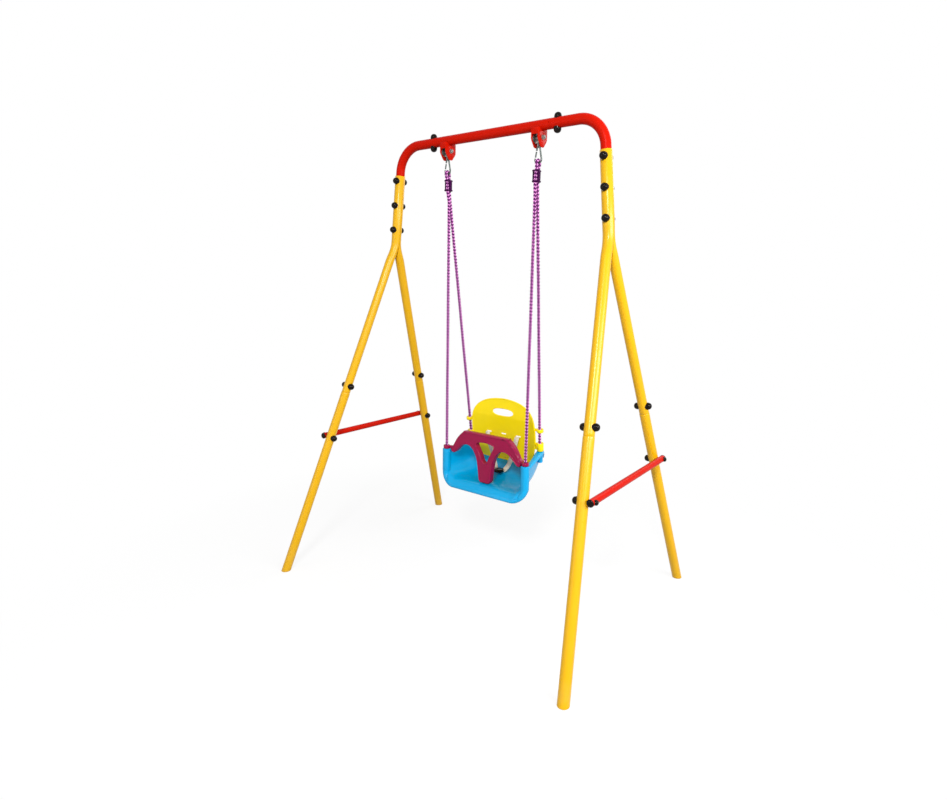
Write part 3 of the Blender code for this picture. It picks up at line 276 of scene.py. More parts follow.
def weave_group():
    """Ribs and crossing threads of flat webbing, on its UV map in millimetres, with painted shade in the
    hollows between the threads.
    """
    tree, given, made = new_group(
        "Webbing weave",
        [("UV", "Vector", None), ("Colour", "Color", (0.5, 0.5, 0.5, 1)), ("Rib", "Float", 1.1),
         ("Depth", "Float", 0.0002)],
        [("Colour", "Color"), ("Normal", "Vector")])
    split = add_node(tree, "ShaderNodeSeparateXYZ", {0: given.outputs["UV"]})
    waves = []
    for axis in ("X", "Y"):
        turns = add_node(tree, "ShaderNodeMath", {0: split.outputs[axis], 1: given.outputs["Rib"]},
                         operation="DIVIDE")
        angle = add_node(tree, "ShaderNodeMath", {0: turns.outputs[0], 1: 2 * math.pi}, operation="MULTIPLY")
        waves.append(add_node(tree, "ShaderNodeMath", {0: angle.outputs[0]}, operation="SINE").outputs[0])
    cross = add_node(tree, "ShaderNodeMath", {0: waves[0], 1: waves[1]}, operation="MULTIPLY")
    mask = add_node(tree, "ShaderNodeMapRange", {0: cross.outputs[0], 1: -1.0, 2: 1.0, 3: 0.0, 4: 1.0})
    # painted shade: the colour goes darker and browner where the threads' bump is low, in the hollows between
    # them
    dark = mix_colour(tree, 0.45, given.outputs["Colour"], (0.30, 0.22, 0.12, 1.0))
    tree.links.new(mix_colour(tree, mask.outputs[0], dark, given.outputs["Colour"]), made.inputs["Colour"])
    bump = add_node(tree, "ShaderNodeBump", {"Height": mask.outputs[0], "Distance": given.outputs["Depth"]})
    tree.links.new(bump.outputs[0], made.inputs["Normal"])
    return tree


def new_material(name, tone, roughness, metallic=0.0, sheen=0.0, specular=0.5):
    """A material with a Principled shader; returns it, its tree and the shader."""
    material = bpy.data.materials.new(name)
    material.use_nodes = True
    shader = material.node_tree.nodes["Principled BSDF"]
    shader.inputs["Base Color"].default_value = (*tone, 1.0)
    shader.inputs["Roughness"].default_value = roughness
    shader.inputs["Metallic"].default_value = metallic
    shader.inputs["Sheen Weight"].default_value = sheen
    shader.inputs["Specular IOR Level"].default_value = specular
    material.diffuse_color = (*tone, 1.0)
    return material, material.node_tree, shader


def skin(tree, shader, tone, group, dust=None, dust_amount=0.2, **values):
    """Feed a shader from the moulded skin group, with dust over it where one is given."""
    place = add_node(tree, "ShaderNodeTexCoord")
    node = add_node(tree, "ShaderNodeGroup", node_tree=group)
    tree.links.new(place.outputs["Object"], node.inputs["Vector"])
    node.inputs["Colour"].default_value = (*tone, 1.0)
    for key, value in values.items():
        node.inputs[key.replace("_", " ").title()].default_value = value
    colour_out, rough_out = node.outputs["Colour"], node.outputs["Roughness"]
    if dust:
        over = add_node(tree, "ShaderNodeGroup", node_tree=dust)
        tree.links.new(place.outputs["Object"], over.inputs["Vector"])
        tree.links.new(colour_out, over.inputs["Colour"])
        tree.links.new(rough_out, over.inputs["Roughness"])
        over.inputs["Amount"].default_value = dust_amount
        colour_out, rough_out = over.outputs["Colour"], over.outputs["Roughness"]
    tree.links.new(colour_out, shader.inputs["Base Color"])
    tree.links.new(rough_out, shader.inputs["Roughness"])
    tree.links.new(node.outputs["Normal"], shader.inputs["Normal"])


MATERIALS = {}

# Colour, specular level, amount of dust and the skin's own values of each painted or moulded finish
FINISHES = {
    "tube_red": ("tube_red", 0.04, 0.03, dict(
        mottle=0.02, gloss=0.30, gloss_spread=0.04, grain_scale=420.0, grain_depth=0.000005)),
    "leg_yellow": ("leg_yellow", 0.30, 0.10, dict(
        mottle=0.02, gloss=0.27, gloss_spread=0.04, grain_scale=420.0, grain_depth=0.000005)),
    "plug_yellow": ("leg_yellow", 0.25, 0.50, dict(mottle=0.10, gloss=0.50, grain_depth=0.00002)),
    "cap_black": ("cap_black", 0.12, 0.00, dict(
        mottle=0.20, gloss=0.03, gloss_spread=0.02, grain_depth=0.000003)),
    "adjuster_purple": ("adjuster_purple", 0.04, 0.04, dict(mottle=0.15, gloss=0.30, grain_depth=0.00001)),
    "tub_blue": ("tub_blue", 0.25, 0.03, dict(
        mottle=0.05, mottle_scale=22.0, gloss=0.13, gloss_spread=0.06, grain_scale=700.0,
        grain_depth=0.000015)),
    "back_yellow": ("back_yellow", 0.30, 0.02, dict(
        mottle=0.03, gloss=0.30, gloss_spread=0.10, grain_scale=800.0, grain_depth=0.000012)),
    "guard_magenta": ("guard_magenta", 0.20, 0.02, dict(
        mottle=0.05, gloss=0.12, gloss_spread=0.04, grain_scale=700.0, grain_depth=0.000012)),
}


def make_finishes(group, dust):
    """The painted and moulded finishes."""
    for name, (tone_name, specular, dust_amount, values) in FINISHES.items():
        tone = getattr(colours(), tone_name)
        material, tree, shader = new_material(name, tone, 0.3, specular=specular)
        skin(tree, shader, tone, group, dust, dust_amount, **values)
        MATERIALS[name] = material


def make_steels(group):
    """Zinc plated steel, lighter for the eyes and bolts than for the hooks."""
    for name, tone in (("steel_grey", colours().steel_grey), ("hook_steel", colours().hook_steel)):
        material, tree, shader = new_material(name, tone, 0.3, metallic=0.8)
        skin(tree, shader, tone, group, mottle=0.35, mottle_scale=160.0, gloss=0.28, gloss_spread=0.22,
             grain_scale=1400.0, grain_depth=0.00001)
        MATERIALS[name] = material


def make_rope_purple():
    """Fibres of the braid, dark or light as each strand's own shade says."""
    light, dark = (*colours().rope_light, 1.0), (*colours().rope_dark, 1.0)
    material, tree, shader = new_material("rope_purple", colours().rope_light, 0.72, sheen=0.1, specular=0.2)
    shade = add_node(tree, "ShaderNodeAttribute", attribute_name="strand_shade")
    strand = mix_colour(tree, shade.outputs["Fac"], dark, light)
    place = add_node(tree, "ShaderNodeTexCoord")
    fibre = add_node(tree, "ShaderNodeTexNoise",
                     {"Vector": place.outputs["Object"], "Scale": 2600.0, "Detail": 2.0})
    shadow = mix_colour(tree, 0.25, strand, (0.02, 0.0, 0.02, 1.0))
    tree.links.new(mix_colour(tree, fibre.outputs["Fac"], shadow, strand), shader.inputs["Base Color"])
    bump = add_node(tree, "ShaderNodeBump", {"Height": fibre.outputs["Fac"], "Distance": 0.0002})
    tree.links.new(bump.outputs[0], shader.inputs["Normal"])
    MATERIALS["rope_purple"] = material


def make_webbing_cream(weave):
    """Woven webbing, whose ribs and painted shade in the hollows between threads follow the strap's UV map."""
    tone = colours().webbing_cream
    material, tree, shader = new_material("webbing_cream", tone, 0.8, sheen=0.2, specular=0.2)
    ribs = add_node(tree, "ShaderNodeGroup", node_tree=weave)
    ribs.inputs["Colour"].default_value = (*tone, 1)
    tree.links.new(add_node(tree, "ShaderNodeUVMap", uv_map="length").outputs[0], ribs.inputs["UV"])
    tree.links.new(ribs.outputs["Colour"], shader.inputs["Base Color"])
    tree.links.new(ribs.outputs["Normal"], shader.inputs["Normal"])
    MATERIALS["webbing_cream"] = material


def make_materials():
    """Build every finish once, into MATERIALS."""
    group = moulded_skin_group()
    make_finishes(group, yard_dust_group())
    make_steels(group)
    make_rope_purple()
    make_webbing_cream(weave_group())


# Meshes

def link_object(name, data):
    """Add an object to the scene."""
    item = bpy.data.objects.new(name, data)
    bpy.context.scene.collection.objects.link(item)
    return item


def from_bmesh(name, bm):
    """Link an object with the bmesh as its mesh, and free the bmesh."""
    mesh = bpy.data.meshes.new(name)
    bm.to_mesh(mesh)
    bm.free()
    return link_object(name, mesh)


def mend(item, apart, matrix=None):
    """Merge an object's doubles, turn its faces outwards and, where one is given, apply a matrix."""
    bm = bmesh.new()
    bm.from_mesh(item.data)
    bmesh.ops.remove_doubles(bm, verts=bm.verts, dist=apart)
    bmesh.ops.recalc_face_normals(bm, faces=bm.faces)
    if matrix:
        bm.transform(matrix)
    bm.to_mesh(item.data)
    bm.free()
    return item


def plain_mesh(item):
    """Replace an object's modifiers by their result and return the object."""
    evaluated = item.evaluated_get(bpy.context.evaluated_depsgraph_get())
    mesh = bpy.data.meshes.new_from_object(evaluated)
    item.modifiers.clear()
    if item.type == "MESH":
        item.data = mesh
        return item
    name = item.name
    bpy.data.objects.remove(item, do_unlink=True)
    return link_object(name, mesh)


def soften(item, angle=40):
    """Smooth shading, with edges above the angle kept sharp."""
    item.data.shade_smooth()
    item.data.set_sharp_from_angle(angle=math.radians(angle))
    return item


def join_meshes(name, items):
    """One object from several, in world places; the pieces stay closed bodies of their own."""
    bm = bmesh.new()
    for item in items:
        part = item.data.copy()
        part.transform(item.matrix_world)
        bm.from_mesh(part)
        bpy.data.meshes.remove(part)
        bpy.data.objects.remove(item, do_unlink=True)
    return from_bmesh(name, bm)


def finish_piece(item, material, slot, body, *nodes):
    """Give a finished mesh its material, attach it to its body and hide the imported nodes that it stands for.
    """
    item.data.materials.clear()
    item.data.materials.append(MATERIALS[material])
    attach(item, body)
    if nodes:
        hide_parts(*nodes)
    return item


def bevel_edges(item, width, segments=2, angle=40):
    """Break the edges that are sharper than the angle."""
    bevel = item.modifiers.new("edges", "BEVEL")
    bevel.width = width
    bevel.segments = segments
    bevel.limit_method = "ANGLE"
    bevel.angle_limit = math.radians(angle)
    bevel.use_clamp_overlap = True
    bevel.harden_normals = False
    return item


def boolean(item, other, operation):
    """Cut an object by another, which goes away."""
    cutter = item.modifiers.new(operation.lower(), "BOOLEAN")
    cutter.operation = operation
    cutter.object = other
    plain_mesh(item)
    bpy.data.objects.remove(other, do_unlink=True)
    return item


def smooth_copy(name, node, width):
    """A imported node's mesh, merged and with its edges broken."""
    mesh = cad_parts[node].data.copy()
    bm = bmesh.new()
    bm.from_mesh(mesh)
    bmesh.ops.remove_doubles(bm, verts=bm.verts, dist=0.00002)
    bmesh.ops.dissolve_limit(bm, angle_limit=math.radians(1.0), verts=bm.verts, edges=bm.edges)
    bm.to_mesh(mesh)
    bm.free()
    item = bevel_edges(link_object(name, mesh), width)
    return soften(plain_mesh(item))


def ease(share):
    """0 up to 0 and 1 from 1, with a soft start and stop between."""
    share = min(1.0, max(0.0, share))
    return share * share * (3 - 2 * share)


def square_to(vector, along):
    """The unit direction nearest to a vector that is square to another direction."""
    return (vector - vector.dot(along) * along).normalized()


def arc_points(centre, radii, start, stop, steps):
    """Points of a round or oval arc, from one angle to another in degrees."""
    angles = [math.radians(start + (stop - start) * i / steps) for i in range(steps + 1)]
    return [(centre[0] + radii[0] * math.cos(a), centre[1] + radii[1] * math.sin(a)) for a in angles]


def spline_span(before, start, stop, after, steps):
    """Points of a smooth curve from start up to stop, with the points on either side given."""
    slope = stop - before
    bend = 2 * before - 5 * start + 4 * stop - after
    twist = 3 * start - before - 3 * stop + after
    shares = [step / steps for step in range(steps)]
    return [0.5 * (2 * start + slope * t + bend * t * t + twist * t ** 3) for t in shares]


def spline_through(points, steps):
    """Points of a smooth curve through the given ones."""
    last = len(points) - 1
    result = []
    for index in range(last):
        result += spline_span(points[max(index - 1, 0)], points[index], points[index + 1],
                              points[min(index + 2, last)], steps)
    return result + [points[-1]]


def matrix_along(origin, direction, hint):
    """A matrix whose Z runs along a direction and whose X is square to the hint."""
    z = Vector(direction).normalized()
    x = Vector(hint).cross(z).normalized()
    matrix = Matrix((x, z.cross(x), z)).transposed().to_4x4()
    matrix.translation = Vector(origin)
    return matrix


def lathe(name, profile, matrix, sides=40):
    """A closed turned solid from (radius, height) points; the profile's ends lie on the axis or meet."""
    bm = bmesh.new()
    rings = []
    for radius, height in profile:
        if radius < 1e-6:
            rings.append([bm.verts.new(matrix @ Vector((0, 0, height)))])
        else:
            rings.append([bm.verts.new(matrix @ Vector((radius * math.cos(a), radius * math.sin(a), height)))
                          for a in (2 * math.pi * i / sides for i in range(sides))])
    closed = len(rings[0]) > 1
    pairs = list(zip(rings, rings[1:] + (rings[:1] if closed else [])))
    if not closed:
        pairs = pairs[:len(rings) - 1]
    for low, high in pairs:
        for i in range(sides):
            j = (i + 1) % sides
            if len(low) == 1:
                bm.faces.new((low[0], high[j], high[i]))
            elif len(high) == 1:
                bm.faces.new((low[i], low[j], high[0]))
            else:
                bm.faces.new((low[i], low[j], high[j], high[i]))
    bmesh.ops.recalc_face_normals(bm, faces=bm.faces)
    return from_bmesh(name, bm)


def ring_profile(outer, bore, low, high, inner_edge=0.0012, edge=0.0012):
    """The profile of a ring or sleeve whose rims have a small edge."""
    return [(outer, low + edge), (outer, high - edge), (outer - edge, high), (bore + edge, high),
            (bore, high - inner_edge), (bore, low + inner_edge), (bore + edge, low), (outer - edge, low)]


def loft(name, rings):
    """A closed solid through rings of points."""
    bm = bmesh.new()
    rows = [[bm.verts.new(point) for point in ring] for ring in rings]
    for low, high in zip(rows, rows[1:]):
        for i in range(len(low)):
            j = (i + 1) % len(low)
            bm.faces.new((low[i], low[j], high[j], high[i]))
    bm.faces.new(rows[0])
    bm.faces.new(rows[-1])
    bmesh.ops.recalc_face_normals(bm, faces=bm.faces)
    return from_bmesh(name, bm)


def walled_sheet(name, rows, thickness):
    """A sheet through rows of points, with a Solidify modifier for its wall."""
    bm = bmesh.new()
    grid = [[bm.verts.new(point) for point in row] for row in rows]
    for low, high in zip(grid, grid[1:]):
        for i in range(len(low) - 1):
            bm.faces.new((low[i], low[i + 1], high[i + 1], high[i]))
    item = from_bmesh(name, bm)
    wall = item.modifiers.new("wall", "SOLIDIFY")
    wall.thickness = thickness
    wall.offset = -1.0
    return item


def pebble(name, centre, extent):
    """A smooth egg-shaped lump."""
    bm = bmesh.new()
    bmesh.ops.create_icosphere(bm, subdivisions=3, radius=1.0)
    bmesh.ops.scale(bm, vec=extent, verts=bm.verts)
    bmesh.ops.translate(bm, vec=centre, verts=bm.verts)
    return from_bmesh(name, bm)


def flat_moulding(name, outline, holes, thickness, rounding, matrix):
    """A thick plate with rounded edges, cut to an outline with holes."""
    curve = bpy.data.curves.new(name, "CURVE")
    curve.dimensions = "2D"
    curve.fill_mode = "BOTH"
    curve.extrude = thickness / 2 - rounding
    curve.bevel_depth = rounding
    curve.bevel_resolution = 4
    curve.offset = -rounding
    for loop in (outline, *holes):
        spline = curve.splines.new("POLY")
        spline.points.add(len(loop) - 1)
        for index, point in enumerate(loop):
            spline.points[index].co = (point[0], point[1], 0.0, 1.0)
        spline.use_cyclic_u = True
    item = plain_mesh(link_object(name, curve))
    return soften(mend(item, 0.00002, matrix), 50)


def upright(y):
    """The matrix that stands a flat moulding up at a place along Y."""
    return Matrix.Translation((0, y, 0)) @ Matrix((X_AXIS, Z_AXIS, -Y_AXIS)).transposed().to_4x4()


def whole_outline(half, steps):
    """A closed outline from its right half, with a smooth curve through its points."""
    points = [Vector(p) for p in half] + [Vector((-x, y)) for x, y in reversed(half) if abs(x) > 1e-6]
    count = len(points)
    result = []
    for index in range(count):
        result += spline_span(*(points[(index + k) % count] for k in (-1, 0, 1, 2)), steps)
    return result


def inset_loop(loop, distance):
    """A clockwise closed outline moved inwards, and evened out where it would fold."""
    count = len(loop)
    result = []
    for index in range(count):
        along = (loop[(index + 2) % count] - loop[index - 2]).normalized()
        result.append(loop[index] + distance * Vector((along.y, -along.x)))
    for _ in range(2):
        result = [(result[index - 1] + 2 * result[index] + result[(index + 1) % count]) / 4
                  for index in range(count)]
    return result


def block(name, centre, extent, rounding):
    """A block with rounded edges."""
    bm = bmesh.new()
    bmesh.ops.create_cube(bm, size=1.0)
    bmesh.ops.scale(bm, vec=extent, verts=bm.verts)
    bmesh.ops.bevel(bm, geom=bm.edges[:], offset=rounding, segments=4, affect="EDGES", profile=0.5)
    bmesh.ops.translate(bm, vec=centre, verts=bm.verts)
    return from_bmesh(name, bm)


# Node trees

def new_tree(name, inputs):
    """A geometry node tree with named inputs; returns the tree and its two end nodes."""
    tree = bpy.data.node_groups.new(name, "GeometryNodeTree")
    tree.interface.new_socket("Geometry", in_out="INPUT", socket_type="NodeSocketGeometry")
    for word, kind, default in inputs:
        socket = tree.interface.new_socket(word, in_out="INPUT", socket_type="NodeSocket" + kind)
        if default is not None:
            socket.default_value = default
    tree.interface.new_socket("Geometry", in_out="OUTPUT", socket_type="NodeSocketGeometry")
    return tree, tree.nodes.new("NodeGroupInput"), tree.nodes.new("NodeGroupOutput")


def end_tree(tree, geometry, given, made):
    """Realize Instances and Set Material at the end of a tree."""
    real = add_node(tree, "GeometryNodeRealizeInstances", {"Geometry": geometry})
    paint = add_node(tree, "GeometryNodeSetMaterial", {"Geometry": real.outputs[0],
                                                       "Material": given.outputs["Material"]})
    tree.links.new(paint.outputs[0], made.inputs[0])
    return tree


def tube_tree():
    """A round tube along the path of its edges, with the radius that each point carries."""
    tree, given, made = new_tree("Tube along a path", [("Sides", "Int", 32), ("Material", "Material", None)])
    path = add_node(tree, "GeometryNodeMeshToCurve", {"Mesh": given.outputs["Geometry"]})
    ring = add_node(tree, "GeometryNodeCurvePrimitiveCircle",
                    {"Resolution": given.outputs["Sides"], "Radius": 1.0})
    radius = add_node(tree, "GeometryNodeInputNamedAttribute", {"Name": "tube_radius"})
    tube = add_node(tree, "GeometryNodeCurveToMesh",
                    {"Curve": path.outputs[0], "Profile Curve": ring.outputs[0],
                     "Scale": radius.outputs[0], "Fill Caps": True})
    return end_tree(tree, tube.outputs[0], given, made)


def scatter_tree():
    """One shape set at every point, turned along the point's facing and scaled by its stretch."""
    tree, given, made = new_tree("Shape at each point",
                                 [("Shape", "Object", None), ("Material", "Material", None)])
    shape = add_node(tree, "GeometryNodeObjectInfo", {"Object": given.outputs["Shape"]})
    facing = add_node(tree, "GeometryNodeInputNamedAttribute", {"Name": "facing"}, data_type="FLOAT_VECTOR")
    stretch = add_node(tree, "GeometryNodeInputNamedAttribute", {"Name": "stretch"}, data_type="FLOAT_VECTOR")
    turn = add_node(tree, "FunctionNodeAlignRotationToVector", {"Vector": facing.outputs[0]}, axis="Z")
    copies = add_node(tree, "GeometryNodeInstanceOnPoints",
                      {"Points": given.outputs["Geometry"], "Instance": shape.outputs["Geometry"],
                       "Rotation": turn.outputs[0], "Scale": stretch.outputs[0]})
    return end_tree(tree, copies.outputs[0], given, made)


def braid_tree():
    """Strands that wind both ways round a path, over and under each other."""
    tree, given, made = new_tree(
        "Braided rope",
        [("Strands", "Int", 3), ("Pitch", "Float", 0.036), ("Radius", "Float", 0.0067),
         ("Strand Radius", "Float", 0.00335), ("Step", "Float", 0.0015), ("Material", "Material", None)])
    path = add_node(tree, "GeometryNodeMeshToCurve", {"Mesh": given.outputs["Geometry"]})
    fine = add_node(tree, "GeometryNodeResampleCurve",
                    {"Curve": path.outputs[0], "Length": given.outputs["Step"]}, mode="LENGTH")

    def maths(operation, first, second=0.0, third=0.0):
        node = tree.nodes.new("ShaderNodeMath")
        node.operation = operation
        for socket, value in zip(node.inputs, (first, second, third)):
            if isinstance(value, bpy.types.NodeSocket):
                tree.links.new(value, socket)
            else:
                socket.default_value = value
        return node.outputs[0]

    def scaled(vector, amount):
        node = tree.nodes.new("ShaderNodeVectorMath")
        node.operation = "SCALE"
        tree.links.new(vector, node.inputs[0])
        tree.links.new(amount, node.inputs["Scale"])
        return node.outputs[0]

    along = add_node(tree, "GeometryNodeSplineParameter").outputs["Length"]
    normal = add_node(tree, "GeometryNodeInputNormal").outputs[0]
    tangent = add_node(tree, "GeometryNodeInputTangent").outputs[0]
    across = add_node(tree, "ShaderNodeVectorMath", {0: tangent, 1: normal},
                      operation="CROSS_PRODUCT").outputs[0]
    turns = maths("DIVIDE", along, given.outputs["Pitch"])
    strands = given.outputs["Strands"]
    crossing = maths("COSINE", maths("MULTIPLY", maths("MULTIPLY", turns, strands), 2 * math.pi))
    centre = maths("SUBTRACT", given.outputs["Radius"],
                   maths("MULTIPLY", given.outputs["Strand Radius"], 1.45))
    swing_out = maths("MULTIPLY", given.outputs["Strand Radius"], 0.5)
    ring = add_node(tree, "GeometryNodeCurvePrimitiveCircle", {"Resolution": 4, "Radius": 1.0})
    layers = []
    for direction, lightness in ((1.0, 1.0), (-1.0, 0.0)):
        copies = add_node(tree, "GeometryNodeDuplicateElements",
                          {"Geometry": fine.outputs[0], "Amount": strands}, domain="SPLINE")
        number = add_node(tree, "GeometryNodeInputNamedAttribute", {"Name": "strand_number"},
                          data_type="FLOAT")
        keep = add_node(tree, "GeometryNodeStoreNamedAttribute",
                        {"Geometry": copies.outputs[0], "Name": "strand_number", "Value": copies.outputs[1]},
                        data_type="FLOAT", domain="CURVE")
        start = maths("MULTIPLY", maths("DIVIDE", number.outputs[0], strands), 2 * math.pi)
        angle = maths("ADD", maths("MULTIPLY", turns, direction * 2 * math.pi), start)
        reach = maths("MULTIPLY_ADD", maths("MULTIPLY", crossing, direction), swing_out, centre)
        offset = add_node(tree, "ShaderNodeVectorMath",
                          {0: scaled(normal, maths("MULTIPLY", maths("COSINE", angle), reach)),
                           1: scaled(across, maths("MULTIPLY", maths("SINE", angle), reach))},
                          operation="ADD")
        moved = add_node(tree, "GeometryNodeSetPosition",
                         {"Geometry": keep.outputs[0], "Offset": offset.outputs[0]})
        tube = add_node(tree, "GeometryNodeCurveToMesh",
                        {"Curve": moved.outputs[0], "Profile Curve": ring.outputs[0],
                         "Scale": given.outputs["Strand Radius"], "Fill Caps": True})
        tint = add_node(tree, "GeometryNodeStoreNamedAttribute",
                        {"Geometry": tube.outputs[0], "Name": "strand_shade", "Value": lightness},
                        data_type="FLOAT", domain="POINT")
        layers.append(tint.outputs[0])
    both = tree.nodes.new("GeometryNodeJoinGeometry")
    for layer in layers:
        tree.links.new(layer, both.inputs[0])
    soft = add_node(tree, "GeometryNodeSetShadeSmooth", {"Geometry": both.outputs[0]})
    return end_tree(tree, soft.outputs[0], given, made)


TREES = {}


def grow(item, tree, **values):
    """Run a node tree on an object and keep its result as a plain mesh."""
    modifier = item.modifiers.new(tree, "NODES")
    modifier.node_group = TREES[tree]
    for socket in TREES[tree].interface.items_tree:
        key = socket.name.lower().replace(" ", "_")
        if socket.in_out == "INPUT" and key in values:
            modifier[socket.identifier] = values[key]
    return plain_mesh(item)


def path_object(name, points, radii=None):
    """A path of edges through points, with a radius at each point where they are given."""
    mesh = bpy.data.meshes.new(name)
    mesh.from_pydata([tuple(point) for point in points], [(i, i + 1) for i in range(len(points) - 1)], [])
    if radii:
        values = mesh.attributes.new("tube_radius", "FLOAT", "POINT")
        values.data.foreach_set("value", radii)
    return link_object(name, mesh)


def tube(name, points, radii, material, sides=40):
    """A smooth closed tube along points; radii is one radius or one for each point."""
    points = [Vector(point) for point in points]
    if not isinstance(radii, (list, tuple)):
        radii = [radii] * len(points)
    item = grow(path_object(name, points, list(radii)), "tube", sides=sides, material=MATERIALS[material])
    return soften(mend(item, 0.00001))


def rounded_ends(points, radius, edge=0.0012):
    """Path points and radii of a tube whose two ends have a small round edge."""
    points = [Vector(point) for point in points]
    first = (points[1] - points[0]).normalized()
    last = (points[-1] - points[-2]).normalized()
    steps = ((0.0, edge), (0.3, 0.3 * edge), (1.0, 0.0), (2.5, 0.0))
    route = [points[0] + share * edge * first for share, _ in steps] + points[1:-1]
    route += [points[-1] - share * edge * last for share, _ in reversed(steps)]
    radii = [radius - less for _, less in steps] + [radius] * (len(points) - 2)
    radii += [radius - less for _, less in reversed(steps)]
    return route, radii


# Places on the frame

def post_point(side, height):
    """The place of a post's axis at a height."""
    return Vector((side * (CORNER_HALF + (BAR_HEIGHT - height) * math.tan(POST_LEAN)), 0.0, height))


def post_direction(side):
    """The direction down a post."""
    return Vector((side * math.sin(POST_LEAN), 0.0, -math.cos(POST_LEAN)))


def flip(point, side, end):
    """A place of the rear right quarter, mirrored to the quarter that is wanted."""
    return Vector((side * point.x, end * point.y, point.z))


def leg_point(side, end, height):
    """The place of a leg's axis at a height."""
    share = (KNEE.z - height) / (KNEE.z - FOOT.z)
    return flip(KNEE.lerp(FOOT, share), side, end)


def leg_direction(side, end):
    """The direction down a leg."""
    return (flip(FOOT, side, end) - flip(KNEE, side, end)).normalized()


def leg_bolt_axis(side, end):
    """The outward direction of a bolt through a leg."""
    return square_to(side * X_AXIS, leg_direction(side, end))


def rear_rope_point(side, height):
    """The place of a rear rope's middle at a height."""
    top = Vector((ADJUSTER.x + STRAND_SHIFT, ROPE_SPREAD, STRAND_TOP))
    share = (top.z - height) / (top.z - REAR_ROPE_LOW.z)
    point = top.lerp(REAR_ROPE_LOW, share)
    return Vector((side * point.x, point.y, point.z))


# Operators

class SWING_OT_stage(Operator):
    """Set the pale floor, the soft lights and the camera"""
    bl_idname = "swing.stage"
    bl_label = "Stage"

    def plain_view(self, tree):
        """1 for rays that see the background from the camera, in a reflection or through glass, else 0."""
        light_path = add_node(tree, "ShaderNodeLightPath")
        seen = add_node(tree, "ShaderNodeMath", {0: light_path.outputs["Is Camera Ray"],
                                                 1: light_path.outputs["Is Glossy Ray"]}, operation="MAXIMUM")
        seen = add_node(tree, "ShaderNodeMath",
                        {0: seen.outputs[0], 1: light_path.outputs["Is Transmission Ray"]}, operation="MAXIMUM")
        return seen.outputs[0]

    def camera_matrix(self):
        """The camera's place and turn."""
        ahead = Vector((-math.sin(CAMERA_YAW) * math.cos(CAMERA_PITCH),
                        math.cos(CAMERA_YAW) * math.cos(CAMERA_PITCH), -math.sin(CAMERA_PITCH)))
        level = Vector((math.cos(CAMERA_YAW), math.sin(CAMERA_YAW), 0.0))
        up = level.cross(ahead)
        image_right = level * math.cos(CAMERA_ROLL) + up * math.sin(CAMERA_ROLL)
        image_up = -level * math.sin(CAMERA_ROLL) + up * math.cos(CAMERA_ROLL)
        matrix = Matrix((image_right, image_up, -ahead)).transposed().to_4x4()
        matrix.translation = CAMERA_PLACE
        return matrix

    def make_floor(self):
        """A floor that is white to the eye and lets the swing's shadow show near its middle."""
        floor_mesh = bpy.data.meshes.new("floor")
        corners = [(FLOOR_REACH * x, FLOOR_REACH * y, 0) for x, y in ((-1, -1), (1, -1), (1, 1), (-1, 1))]
        floor_mesh.from_pydata(corners, [], [(0, 1, 2, 3)])
        floor = link_object("floor", floor_mesh)
        material, tree, shader = new_material("pale_floor", (0.40, 0.40, 0.40), 0.7, specular=0.0)
        glow = add_node(tree, "ShaderNodeEmission", {"Color": (1, 1, 1, 1), "Strength": 1.0})
        matt = add_node(tree, "ShaderNodeBsdfDiffuse", {"Color": (1, 1, 1, 1)})
        place = add_node(tree, "ShaderNodeTexCoord")
        away = add_node(tree, "ShaderNodeVectorMath", {0: place.outputs["Object"]}, operation="LENGTH")
        fade = add_node(tree, "ShaderNodeMapRange",
                        {0: away.outputs["Value"], 1: 0.7, 2: 1.7, 3: 0.82, 4: 1.0})
        view = add_node(tree, "ShaderNodeMixShader",
                        {0: fade.outputs[0], 1: matt.outputs[0], 2: glow.outputs[0]})
        blend = add_node(tree, "ShaderNodeMixShader", {0: self.plain_view(tree), 1: shader.outputs[0],
                                                       2: view.outputs[0]})
        tree.links.new(blend.outputs[0], tree.nodes["Material Output"].inputs["Surface"])
        floor_mesh.materials.append(material)

    def make_world(self):
        """Soft light from all sides, and white where it is seen."""
        world = bpy.data.worlds.new("studio")
        bpy.context.scene.world = world
        world.use_nodes = True
        tree = world.node_tree
        soft_light = tree.nodes["Background"]
        soft_light.inputs["Color"].default_value = (1, 1, 1, 1)
        soft_light.inputs["Strength"].default_value = SOFT_LIGHT
        white = add_node(tree, "ShaderNodeBackground", {"Color": (1, 1, 1, 1), "Strength": 1.0})
        blend = add_node(tree, "ShaderNodeMixShader", {0: self.plain_view(tree), 1: soft_light.outputs[0],
                                                       2: white.outputs[0]})
        tree.links.new(blend.outputs[0], tree.nodes["World Output"].inputs["Surface"])

    def make_lamps(self):
        """Area lamps that point at the seat's height."""
        for name, place, wide, tall, power in LAMPS:
            lamp = bpy.data.lights.new(name, "AREA")
            lamp.energy = power
            lamp.shape = "RECTANGLE"
            lamp.size, lamp.size_y = wide, tall
            item = link_object(name, lamp)
            item.matrix_world = matrix_along(place, Vector(place) - LAMP_TARGET, Z_AXIS)

    def make_camera(self):
        """The camera that took the picture, as solved from the frame."""
        camera_data = bpy.data.cameras.new("camera")
        camera_data.sensor_width = CAMERA_SENSOR
        camera_data.sensor_fit = "HORIZONTAL"
        camera_data.lens = CAMERA_LENS
        camera_data.clip_end = 60.0
        camera = link_object("camera", camera_data)
        camera.matrix_world = self.camera_matrix()
        bpy.context.scene.camera = camera

    def execute(self, context):
        self.make_floor()
        self.make_world()
        self.make_lamps()
        self.make_camera()
        context.scene.view_settings.view_transform = "Standard"
        return {"FINISHED"}


